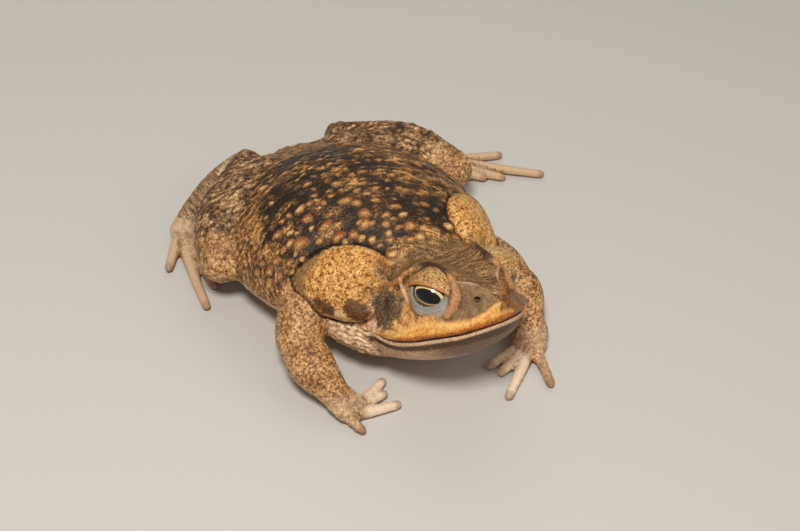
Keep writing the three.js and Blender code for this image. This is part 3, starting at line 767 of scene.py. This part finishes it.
raised, dome, shown = np.zeros((3, len(spots)))
around_wart = np.full(len(spots), 9.0)
caps = {tint: np.zeros(len(spots)) for tint in WARTS}
for row, (middle, size, tint) in enumerate(wart_rows):
    strength = 1 if row < listed else chance.uniform(0.25, 0.8)
    stretch = chance.uniform(1.1, 1.5)
    waves = chance.uniform(0, 6.28, 2)
    facing = outward[nearest_to(middle)]
    along_ring = np.cross(facing, RING_NORMAL)
    along_ring /= np.linalg.norm(along_ring)
    across_ring = np.cross(facing, along_ring)
    near = np.flatnonzero((np.abs(spots - middle) < 2.4 * size).all(axis=1))
    apart = spots[near] - middle
    along, across = apart @ along_ring / stretch, apart @ across_ring
    turn = np.arctan2(across, along)
    away = np.sqrt(along**2 + across**2 + (apart @ facing) ** 2) / size
    away *= 1 + 0.12 * np.cos(2 * turn + waves[0]) + 0.08 * np.cos(3 * turn + waves[1])
    bulge = np.clip(1 - away**2, 0, 1)
    rise = WART_RISE * (0.5 + 0.5 * strength)
    raised[near] = np.maximum(raised[near], rise * size * bulge**0.8 - 0.10 * size * hump(away, 1.15, 0.2))
    dome[near] = np.maximum(dome[near], bulge)
    shown[near] = np.maximum(shown[near], strength * eased(away, 1.15, 0.85))
    around_wart[near] = np.minimum(around_wart[near], away + (1 - strength))
    cap = np.clip(0.55 + 0.75 * (apart @ CAP_WAY) / size, 0, 1) * eased(away, 1.2, 0.7) * strength
    caps[tint][near] = np.maximum(caps[tint][near], cap)
    if tint in ("tan", "pale"):
        caps["rusty"][near] = np.maximum(caps["rusty"][near], 0.75 * cap)
head_share = eased(fx, -22, -16)
relief = sum(height * shares[group] for group, height in BODY_RELIEF.items())
relief = relief * eased(fx, -14, -20) * (1 - 0.6 * shown)
for group, height in FINE_RELIEF.items():
    relief = relief + height * shares[group]
relief += THROAT_RELIEF * head_share * eased(over_mouth(fx, fz), -2.2, -4.0)
raised += relief * (granules - 0.4)

on_dome = mark("dome", dome)
# Painted shade: a dark ring in the shallow moat round each wart.
wart_moat_shade = mark("around_wart", around_wart).off(1.22).step(0.3, 0.0)
back = (wart_moat_shade * 0.75).over(back, tone(48, 34, 23))
# Each wart lightens towards the top of its dome to bright cream, partly its own tan and partly painted
# highlight.
wart_light = on_dome * 0.45 + grit * 1.2 - seams * 0.3 + mark("blonde", caps["pale"]) * 0.35
wart = ramp(wart_light, (0.0, (106, 66, 28)), (0.3, (178, 122, 60)), (0.66, (244, 200, 134)))
back = broken(mark("shown", shown), 0.9, 0.2, 0.9).over(back, wart)
on_rust = broken(mark("rust", caps["rusty"]), 0.7, 0.3, 0.95) * 0.9
back = on_rust.over(back, speckled((104, 50, 14), (172, 94, 34)))
back = broken(mark("soot", caps["dark"]), 0.5, 0.3, 0.8).over(back, tone(62, 34, 16))

# Below each neck gland the pale hide of the chest hangs in folds that follow the gland's edge, and painted
# shade lies in a dark hem along the furrow there. Under the belly and the throat the skin is pale and finely
# mottled.
CHEST_FOLDS = 3.4
FOLD_RISE, FOLD_GRAIN = 0.11, 0.3

chest_area = eased(gaps["glands"], 0.8, 2.0) * shares["torso"] * eased(x, 26, 34) * eased(z, 28, 23)
fold_waves = 1.6 * np.sin(x * 0.31 + z * 0.5) + 1.2 * np.sin(x * 0.83 + y * 0.7)
folds = np.sin((z - 0.22 * x) * CHEST_FOLDS + fold_waves)
raised += chest_area * (FOLD_RISE * folds + FOLD_GRAIN * (granules - 0.4))
# A dark line of painted shade in the furrow that parts the gland from the shoulder.
hem = hump(gaps["glands"], 0.75, 0.4) * eased(fx, -20, -25) * (0.45 + 0.4 * eased(fz, 2, -4))
# The chest is painted a little lighter on the crest of each fold and darker in its trough, as highlight and
# shade.
chest_light = mark("folds", folds) * 0.08 + speckle * 0.55 + granule * 0.3 + 0.08
chest = ramp(chest_light, (0.26, (112, 74, 46)), (0.40, (206, 158, 112)), (0.56, (252, 222, 184)))
on_chest = broken(mark("chest", chest_area), 0.3, 0.25, 0.75)
soft_light = fine_streaks * 0.5 + speckle * 0.5
belly = ramp(soft_light, (0.36, (120, 84, 52)), (0.48, (184, 142, 100)), (0.62, (222, 190, 150)))
under = eased(outward[:, 2], 0.0, -0.5) * (1 - shares["legs"]) * (1 - head_share)
on_belly = broken(mark("pale_under", under), 0.3, 0.3, 0.7)

# Arms and legs wear tan granules with brown dots between them, darker and more olive on the thighs and
# lighter at the knees. The ankle's hide lies in fine wrinkles across the bone, pale above the heel.
KNEES = ((-6, -53, 18), (-9, 47, 20))
ANKLE_RUN = (-0.2, 0.85, 0.5)

dots = cells(wobbled(toad_place, 0.9, 0.8), 0.80)
arm_light = 0.54 + swell * 0.5 + grit * 0.9 + wide * 0.7 - seams * 0.4
arm = ramp(
    arm_light, (0.12, (96, 62, 32)), (0.38, (166, 120, 70)), (0.6, (214, 162, 104)), (0.86, (250, 212, 164))
)
arm = ((dots + (fine - 0.5) * 0.4).step(0.40, 0.20) * 0.85).over(arm, tone(96, 58, 28))
leg_light = 0.48 + swell * 0.6 + grit * 0.8 + wide * 0.8 + on_dome * 0.25
leg_light = leg_light + (fine_streaks - 0.5) * 0.9 - seams * 0.5
leg = ramp(
    leg_light, (0.1, (52, 36, 20)), (0.35, (112, 80, 46)), (0.6, (172, 128, 82)), (0.88, (234, 192, 144))
)
on_knee = mark("knee", eased(np.minimum(*[to_ball(x, y, z, knee) for knee in KNEES]), 17, 9))
leg = broken(on_knee * 0.75, 0.4, 0.3, 0.7).over(leg, times(arm, 0.92))
wrinkle_place = streaked(toad_place, toad_place, ANKLE_RUN, "Y", (0.3, 0.1, 0.2))
wrinkles = noise(wrinkle_place, 1.0, 3.0, 0.6) * 0.6 + speckle * 0.4
band = ramp(wrinkles, (0.36, (138, 106, 66)), (0.5, (202, 172, 122)), (0.64, (236, 214, 168)))
ankle = ramp(wrinkles, (0.38, (74, 52, 32)), (0.5, (142, 108, 70)), (0.64, (206, 170, 124)))
ankle = broken(mark("leg_gap", gaps["legs"]), 1.0, 3.8, 2.8).over(ankle, band)
on_arm = broken(mark("arm_share", shares["arms"]), 0.4, 0.3, 0.7)
on_leg = mark("leg_share", shares["legs"]).step(0.35, 0.65)
on_ankle = broken(mark("ankle_share", shares["ankles"]), 0.3, 0.35, 0.65)

# Hands and feet are bare and pale, with thin skin drawn over the finger bones and painted shade in its
# hollows, and brown at the worn tips of fingers and toes. The outer side of each hand is coloured like the
# arm.
TIP_HEIGHT = 2
TIPS = [
    (52, -22), (57, -24.5), (63, -23), (67, -39), (62.5, 14.5), (67, 16), (77, 12), (79, 28), (-30, -42),
    (-22, -45), (-14, -50), (-6, -57), (-29, -60), (-24, 65), (-21, 70), (-18, 77), (-13, 92), (-30, 84),
]
HOLLOW_REACH = 1.2

tip_area = np.zeros(len(spots))
for tip in TIPS:
    tip_area = np.maximum(tip_area, eased(np.sqrt(((spots - (*tip, TIP_HEIGHT)) ** 2).sum(1)), 3.0, 0.8))
settled = sampled(softened(face_field, HOLLOW_REACH), spots)
# How deep each point lies in a hollow of the hide, where painted shade goes.
hollow = mark("hollow", np.clip(-settled * 2.5, -1, 1))
# Painted shade and highlight: the palm darkens in hollows and lightens on rounded parts.
palm_light = noise(toad_place, 0.45, 4.0, 0.62) * 0.6 + speckle * 0.5 - hollow * 0.25 - small_granules * 0.15
palm = ramp(palm_light, (0.3, (128, 88, 58)), (0.44, (206, 166, 128)), (0.58, (246, 218, 188)))
outer_hand = mark("outer_hand", np.maximum(eased(y, 23, 28), eased(y, -31, -38)) * (x > 45))
palm = (broken(outer_hand, 0.8, 0.3, 1.0) * 0.8).over(palm, times(arm, 0.95))
foot = ramp(palm_light, (0.3, (100, 70, 44)), (0.45, (156, 118, 82)), (0.62, (214, 178, 140)))
hand_area = eased(gaps["hands"], 4.5, -0.5) * (shares["hands"] + shares["arms"])
on_hand = broken(mark("hand_share", hand_area) + drift(0.3) * 0.8, 0.6, 0.2, 1.0)
on_foot = broken(mark("foot_share", shares["feet"]), 0.5, 0.25, 0.85)
on_tip = broken(mark("toe_tip", tip_area), 0.6, 0.1, 1.1) * 0.6

# The crown is olive brown and finely creased, the cheeks tan and alike on both sides, and the muzzle olive.
# The left muzzle is darkened to orange brown by painted shade, and a dark brown mark on its left is partly
# its own colour and partly painted shade.
CROWN_EDGE_X = (-24, -18.5, -12.3, -10.9, -8.7, -1.5, 7, 9.5, 12.1, 15.3, 18, 19.5)
CROWN_EDGE_Y = (24, 22, 18.0, 15.5, 13.0, 10.2, 9.2, 7.8, 5.3, 3.3, 1.5, 0.2)
SMEAR_SHADE_EDGE_Z = (-5.5, -0.2, 4.8)
SMEAR_SHADE_EDGE_Y = (-1, 1.9, 8.5)
CREASE_RUN = (0.8, -0.65, 0.5)

face_place = paint.node("ShaderNodeAttribute", {"attribute_name": "face_place"}, output=1)
face_x = paint.node("ShaderNodeSeparateXYZ", {}, {0: face_place})
crown_area = eased(np.interp(fx, CROWN_EDGE_X, CROWN_EDGE_Y) - fy, -0.5, 0.5) * (fz > -9)
on_crown = mark("crown", crown_area)
on_left = mark("left_face", eased(face_spots[:, 1], 2.0, 5.0))
crease_place = streaked(toad_place, wobbled(toad_place, 0.25, 1.6), CREASE_RUN, "Z", (0.16, 0.16, 0.0))
crown = ramp(
    noise(crease_place, 1.5, 3.0, 0.65, 0.2) * 0.4 + speckle * 0.45 + cloud * 0.15,
    (0.40, (62, 41, 20)), (0.47, (110, 77, 42)), (0.53, (146, 106, 62)), (0.61, (208, 164, 106)),
)
cheek_light = noise(face_place, 0.5, 4.0, 0.65) * 0.6 + speckle * 0.4
cheek = ramp(cheek_light, (0.36, (132, 80, 36)), (0.49, (214, 154, 88)), (0.62, (250, 204, 138)))
muzzle = ramp(cheek_light, (0.34, (98, 72, 44)), (0.5, (142, 108, 70)), (0.66, (172, 138, 98)))
# Painted shade: the left muzzle is a darker orange brown than the right.
far_muzzle_shade = ramp(cheek_light, (0.34, (76, 44, 18)), (0.5, (124, 78, 34)), (0.66, (160, 108, 54)))
head = face_x.step(5.0, 9.0).over(cheek, on_left.over(muzzle, far_muzzle_shade))
head = on_crown.over(head, crown)
# The dark brown mark on the left of the snout is partly its own colour and partly painted shade.
smear_and_shade_area = eased(face_spots[:, 1] - np.interp(fz, SMEAR_SHADE_EDGE_Z, SMEAR_SHADE_EDGE_Y), -0.4, 1.2) * eased(fx, 5, 9)
on_smear_and_shade = broken(mark("snout_dark", smear_and_shade_area), 0.6, 0.2, 0.9)
smear_and_shade = ramp(cheek_light, (0.36, (66, 36, 12)), (0.5, (124, 78, 32)), (0.64, (190, 130, 62)))
head = on_smear_and_shade.over(head, smear_and_shade)

# The upper lip is a broad golden roll of skin, rusty where it folds, and painted highlight lightens its top
# and its crest. The lower lip is a thin pale edge, partly painted highlight, over a brown band that is partly
# painted shade under the jaw. The mouth closes between them in a dark line that ends in a pale swollen
# corner.
LIP_TOP_X = (-18, -14.2, -11.1, -6, -2.4, 0.9, 3.3, 11.9, 15.5, 18.4, 19.4)
LIP_TOP_Z = (-11.6, -12.1, -13.2, -12.1, -10.2, -8.4, -7.6, -7.4, -6.9, -4.9, -2.8)
CORNER_PAINT = (-16.4, 24.2, -12.4)

mouth_rise = mark("mouth_rise", over_mouth(fx, fz))
lip_top = mark("lip_top", fz - np.interp(fx, LIP_TOP_X, LIP_TOP_Z))
# Painted highlight: the upper lip lightens towards its top.
lip_light = noise(face_place, 0.7, 4.0, 0.6) * 0.5 + speckle * 0.5 - 0.12 + mouth_rise.step(0.2, 3.0) * 0.28
lip = ramp(
    lip_light, (0.32, (112, 56, 14)), (0.5, (188, 110, 34)), (0.64, (226, 154, 66)), (0.8, (250, 204, 122))
)
clear_of_smear_and_shade = 1 - on_smear_and_shade * lip_top.step(-5.0, -2.5) * 0.9
head = (broken(lip_top, 1.6, 0.6, -0.6) * clear_of_smear_and_shade).over(head, lip)
# Painted highlight: a cream line along the crest of the upper lip.
lip_highlight = lip_top.off(-1.0).step(1.0, 0.1) * speckle.step(0.3, 0.55) * (1 - on_smear_and_shade)
head = (lip_highlight * 0.55).over(head, tone(250, 206, 132))
on_corner = broken(mark("mouth_corner", hump(to_ball(fx, fy, fz, CORNER_PAINT), 0, 3.6)), 0.4, 0.35, 0.75)
corner_skin = ramp(speckle, (0.35, (190, 136, 96)), (0.6, (248, 214, 176)))
throat = ramp(soft_light, (0.36, (128, 88, 54)), (0.48, (192, 150, 112)), (0.62, (228, 198, 162)))
# The throat turns brown towards the chin, partly its own colour and partly painted shade under the jaw.
throat = (face_x.step(-2.0, 10.0) * 0.85).over(throat, speckled((62, 40, 24), (118, 82, 54)))
# The pale edge of the lower lip is partly its own colour and partly painted highlight.
head = mouth_rise.step(-0.1, -0.4).over(head, speckled((166, 122, 86), (236, 204, 168)))
# The brown band under the lower lip is partly its own colour and partly painted shade in the groove there.
head = mouth_rise.step(-1.1, -1.7).over(head, ramp(soft_light, (0.36, (44, 28, 17)), (0.62, (104, 72, 46))))
head = broken(mouth_rise, 1.5, -3.2, -4.4).over(head, throat)
head = mouth_rise.off(0.0).step(0.32, 0.1).over(head, tone(44, 24, 12))

# Under the hide run bony crests. Where they are worn, before the eye, they show pink and orange with a brown
# edge, the pink partly painted highlight; the one between crown and eye is dark, and behind the eye it turns
# rusty.
crest_gap = mark("crest_gap", to_path(fx, fy, fz, CREST))
on_front = face_x.step(5.0, 8.0)
head = (crest_gap.off(1.15).step(0.45, 0.1) * on_front * 0.5).over(head, tone(104, 62, 30))
rusty_crest, dark_crest = speckled((112, 62, 22), (190, 124, 62)), speckled((42, 24, 11), (92, 56, 26))
crest = face_x.step(-10.5, -8.5).over(rusty_crest, dark_crest)
# The pink of the crest before the eye is partly painted highlight.
crest = on_front.over(crest, speckled((176, 108, 58), (236, 176, 126)))
head = (broken(crest_gap, 0.5, 0.9, 0.2) * 0.85).over(head, crest)
inner_line = crest_gap.off(0.6).step(0.9, 0.4) * on_crown * face_x.step(-12.0, -8.0)
head = (inner_line * face_x.step(6.0, 3.0) * 0.85).over(head, tone(56, 34, 17))

# Each eye is half closed by a granular upper lid, a fold of the hide with a rusty rim and painted shade along
# its lower edge, and a smooth grey lower lid, darkened on the left by painted shade, stands before it. The
# skin is lined with pink round the socket, partly painted highlight, and tan at its rear corner.
from_eye = to_ball(fx, fy, fz, EYE_MIDDLE)
over_lower = toward(fx, fy, fz, EYE_MIDDLE, LOWER_LID["plane"])
over_edge = above_upper_lid(fx, fy, fz) + LEFT_LID_DROP * (face_spots[:, 1] > 0) - UPPER_LID["edge"]
near_eye = eased(from_eye, 8.9, 8.5) * (fx > -9.5)
rear_corner = eased(from_eye, 11.8, 10.3) * eased(fz + 8.8 + 0.845 * fx, 0.0, 0.8)
rear_corner = rear_corner * (1 - crown_area) * (fx < 0)
on_rear_corner = broken(mark("lid_corner", rear_corner), 0.5, 0.3, 0.7) * 0.85
corner_tan = ramp(speckle, (0.3, (86, 60, 32)), (0.5, (150, 112, 66)), (0.7, (226, 186, 130)))
head = on_rear_corner.over(head, corner_tan)
rim_gap = mark("rim_gap", np.minimum(to_path(fx, fy, fz, SOCKET_RIM), to_path(fx, fy, fz, CANTHUS)))
# The pale pink line along the socket rim and the canthus is partly the skin's own pink and partly painted
# highlight.
head = (broken(rim_gap, 0.4, 0.4, 0.0) * 0.9).over(head, tone(232, 184, 156))
lid_light = speckle * 0.5 - small_granules * 0.25 + fine * 0.5
lid = ramp(lid_light, (0.24, (104, 72, 36)), (0.36, (176, 130, 72)), (0.48, (238, 192, 124)))
lid_edge = mark("lid_edge", over_edge)
lid = (broken(lid_edge, 0.8, 1.2, 0.6) * 0.85).over(lid, tone(190, 110, 42))
# Painted shade: the lid darkens along its lower edge, where it meets the eyeball.
lid = lid_edge.step(0.3, 0.1).over(lid, tone(60, 40, 24))
outside_crest = eased(fy, LID_INNER_SIDE - 0.2, LID_INNER_SIDE + 0.3)
on_upper = mark("upper_lid", near_eye * outside_crest * eased(over_edge, -0.5, -0.1))
head = on_upper.over(head, lid)
lower_lid = ramp(
    speckle * 0.35 + mark("lower_rise", eased(over_lower, 2.6, 5.4)) * 0.65,
    (0.2, (172, 162, 146)), (0.45, (172, 168, 162)), (0.7, (146, 143, 136)), (0.95, (110, 104, 92)),
)
# Painted shade: the left lower lid is darkened to olive brown.
lower_lid = (on_left * 0.9).over(lower_lid, tone(66, 52, 36))
on_lower = mark("lower_lid", near_eye * eased(over_lower, 1.6, 2.6) * eased(over_edge, 0, -0.4))
head = on_lower.over(head, lower_lid)

# The eardrum is a thin oval membrane, grey brown and finely granular, stretched in a ring of gristle that
# lies a little under the cheek.
drum = drum_reach(fx, fy, fz)
drum_gap = mark("drum", drum + 0.4 * np.maximum(drum_place(fx, fy, fz)[1] - 2.8, 0))
drum_light = speckle * 0.6 + fine * 0.4 - seams * 0.3 - drum_gap.step(0.8, 0.1) * 0.16
drum_skin = ramp(drum_light, (0.28, (50, 37, 27)), (0.46, (96, 74, 54)), (0.66, (158, 130, 98)))
on_drum = (drum_gap + (noise(face_place, 0.5, 4.0) - 0.5) * 1.6).step(2.1, 1.5)

# A great parotoid gland swells behind each eye under tan gold hide. Pores dot it, two millimetres or more
# apart, its rear hem is olive, and low on it lie dark patches, as x, y, z and half width, and a cream one.
DARK_PATCHES = [
    (-29.0, 35.0, -5.0, 3.2), (-26.6, 34.0, -7.0, 2.2), (-31.0, 36.2, -3.2, 2.0), (-20.8, 29.8, -6.6, 2.9),
    (-19.0, 28.2, -7.6, 3.0), (-21.2, 30.2, -3.6, 2.2), (-18.0, 26.6, -4.4, 2.4), (-19.6, 28.0, -9.8, 2.6),
]
PORE_DRAWS, PORES_APART, PORE_SIZES, PORE_DEPTH = 1600, 2.1, (0.2, 1.05), 0.22

gland_top = np.flatnonzero((shares["glands"] > 0.6) & (z > 18))
pores = []
pore_gap = np.full(len(spots), 9.0)
for pick in chance.choice(gland_top, PORE_DRAWS):
    middle = spots[pick]
    if all(((middle - other) ** 2).sum() > PORES_APART**2 for other in pores):
        pores.append(middle)
        near = np.flatnonzero((np.abs(spots - middle) < 2.5).all(axis=1))
        away = np.sqrt(((spots[near] - middle) ** 2).sum(1)) / chance.uniform(*PORE_SIZES)
        pore_gap[near] = np.minimum(pore_gap[near], away)
raised -= PORE_DEPTH * hump(pore_gap, 0, 0.55)

gland_area = eased(shares["glands"], 0.35, 0.65) * eased(drum, 1.3, 1.7)
gland_area *= 1 - eased(fx + (fz - 5) * 0.4, -19.4, -16.6)
ragged = np.sin(fx * 2.1 + fz * 1.3 + 0.8 * np.sin(fz * 2.9)) + 0.7 * np.sin(fz * 3.7 - fx * 1.9)
ragged += 0.5 * np.sin(fx * 5.3 + fz * 4.1)
patches = sum(hump(to_ball(fx, fy, fz, place), 0, size) for *place, size in DARK_PATCHES)
patches += 0.16 * ragged * (patches > 0.05)
cream = np.exp(-((fx + 24.8) ** 2 + (fy - 32.4) ** 2 + ((fz + 9.0) / 1.7) ** 2) / 2.6**2)
rear_hem = eased(fx, -31, -39) * eased(gaps["glands"], 2.2, 0.0) * eased(fz, -14, -4)
gland_light = noise(toad_place, 0.5, 4.0, 0.62) * 0.5 + speckle * 0.35 + fine * 0.25 - seams * 0.25
gland = ramp(
    gland_light,
    (0.37, (140, 76, 24)), (0.47, (202, 136, 60)), (0.57, (238, 182, 102)), (0.70, (255, 228, 170)),
)
gland = (broken(mark("pore_gap", pore_gap), 1.7, 1.0, 0.3) * 0.85).over(gland, tone(112, 56, 14))
gland = (noise(toad_place, 0.7, 3.0, 0.7).step(0.56, 0.66) * 0.85).over(gland, tone(116, 56, 14))
on_rear_hem = broken(mark("gland_hem", rear_hem) + drift(0.3) * 1.2, 0.9, 0.3, 1.0) * 0.85
gland = on_rear_hem.over(gland, ramp(speckle, (0.3, (88, 62, 36)), (0.7, (158, 124, 78))))
on_patch = broken(mark("gland_patch", patches) + drift(0.5) * 1.2, 1.4, 0.4, 0.8) * 0.92
gland = on_patch.over(gland, speckled((38, 22, 12), (112, 66, 30)))
gland = broken(mark("gland_cream", cream), 0.7, 0.4, 0.6).over(gland, tone(224, 184, 130))

# The hide is now laid as one skin, each part's colour over the last, with painted shade darkening its
# hollows. It is moist and faintly glossy, wettest on the lids, and it covers every solid but the eyeballs.
LAYERS = (
    (on_chest, chest),
    (broken(mark("head_share", head_share), 0.3, 0.3, 0.7), head),
    (on_arm, arm),
    (on_leg, leg),
    (on_ankle, ankle),
    (on_hand, palm),
    (on_foot, foot),
    (mark("gland_share", gland_area), gland),
    (on_belly, belly),
    (on_corner, corner_skin),
    (mark("hem", hem), tone(58, 40, 24)),
    (on_drum, drum_skin),
    (on_tip, tone(140, 92, 60)),
)
skin = back
for mask, colour in LAYERS:
    skin = mask.over(skin, colour)
# Painted shade: the colour darkens to under half in the hide's hollows.
skin = (hollow * 0.9).step(0.1, 0.8).over(skin, times(skin, 0.45))
connect(hide_shader, "Base Color", skin)
connect(hide_shader, "Roughness", speckle * 0.3 + 0.30 - on_upper * 0.12)
connect(hide_shader, "Coat Weight", on_upper * 0.35 + on_lower * 0.5)
hide_shader.inputs["Coat Roughness"].default_value = 0.18
hide_shader.inputs["Specular IOR Level"].default_value = 0.42
relief_of_paint = small_granules * -0.35 + speckle * 0.35 + fine * 0.15 + fine_streaks * 0.2
bump = paint.node("ShaderNodeBump", {}, {"Strength": 0.9, "Distance": 0.0006, "Height": relief_of_paint})
connect(hide_shader, "Normal", bump)

spots = spots + outward * raised[:, None]
spots[:, 2] = np.maximum(spots[:, 2], 0)
hide_mesh = bpy.data.meshes.new("hide")
hide_mesh.from_pydata(((spots + origin) * MM).tolist(), [], hide_faces)
for name, values in marks.items():
    layer = hide_mesh.attributes.new(name, "FLOAT", "POINT")
    layer.data.foreach_set("value", np.ascontiguousarray(values, np.float32))
for name, places in (("toad_place", spots), ("face_place", face_spots)):
    layer = hide_mesh.attributes.new(name, "FLOAT_VECTOR", "POINT")
    layer.data.foreach_set("vector", np.ascontiguousarray(places, np.float32).ravel())
hide_mesh.shade_smooth()
hide_mesh.materials.append(hide_material)
hide = add("hide", hide_mesh)
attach(hide, "root")
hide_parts(*[name for group in BODY_GROUPS.values() for name in group], *DRAWN_FINELY)

# Each eye is a wet ball that fills its lids and looks outward, forward and a little up. A level black pupil
# lies in a dark olive iris flecked with gold, and a bright gold line runs round it, broadest above.
EYE_GAZE = (0.62, 0.73, 0.29)
PUPIL_HALF = (4.3, 2.15)
GOLD = tone(206, 148, 62)
PALE_GOLD = tone(244, 214, 146)
IRIS_DARK = tone(30, 24, 14)
IRIS_LIGHT = tone(128, 98, 48)
GOLD_BELOW, GOLD_MORE_ABOVE = 0.30, 0.65

eye_material, eye_shader, paint = new_material("eye")
where = paint.node("ShaderNodeTexCoord", output=3)
level = paint.node("ShaderNodeSeparateXYZ", {}, {0: times(where, 1 / MM)})
upright = Paint(level.tree, level.output.node.outputs["Y"])
oval = ((level / PUPIL_HALF[0]) ** 2 + (upright / PUPIL_HALF[1]) ** 2) ** 0.5
out_of_middle = (level**2 + upright**2) ** 0.5
past_pupil = out_of_middle - out_of_middle / oval
flecks = noise(where, 1500.0, 6.0, 0.65)
veins = noise(where, 420.0, 5.0, 0.5, 1.6)
iris = (flecks * 0.55 + veins * 0.45).step(0.5, 0.64).over(IRIS_DARK, IRIS_LIGHT)
above = upright.step(-0.2, 1.6)
ring = (past_pupil - above * GOLD_MORE_ABOVE).step(GOLD_BELOW + 0.12, GOLD_BELOW - 0.08)
ring_gold = above.over(GOLD, PALE_GOLD)
coloured = (ring * (flecks.step(0.2, 0.5) * 0.3 + 0.7)).over(iris, ring_gold)
connect(eye_shader, "Base Color", past_pupil.step(0.04, -0.04).over(coloured, (0.002, 0.002, 0.003)))
connect(eye_shader, "Roughness", past_pupil.step(1.0, 0.0) * -0.25 + 0.38)
eye_shader.inputs["Coat Weight"].default_value = 1.0
eye_shader.inputs["Coat Roughness"].default_value = 0.02

for side, name in ((-1, "right"), (1, "left")):
    eye_mesh = bpy.data.meshes.new(f"eyeball_{name}")
    ball = bmesh.new()
    bmesh.ops.create_uvsphere(ball, u_segments=96, v_segments=64, radius=EYEBALL * MM)
    ball.to_mesh(eye_mesh)
    ball.free()
    eye_mesh.shade_smooth()
    eye_mesh.materials.append(eye_material)
    eyeball = add(f"eyeball_{name}", eye_mesh)
    middle, gaze = (HEAD_TURN @ Vector((ahead, out * side, up)) for ahead, out, up in (EYE_MIDDLE, EYE_GAZE))
    eyeball.location = placed(*(HEAD_AT + middle))
    eyeball.rotation_mode = "QUATERNION"
    eyeball.rotation_quaternion = gaze.to_track_quat("Z", "Y")
    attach(eyeball, "root")
    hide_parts(f"eye_{name}")
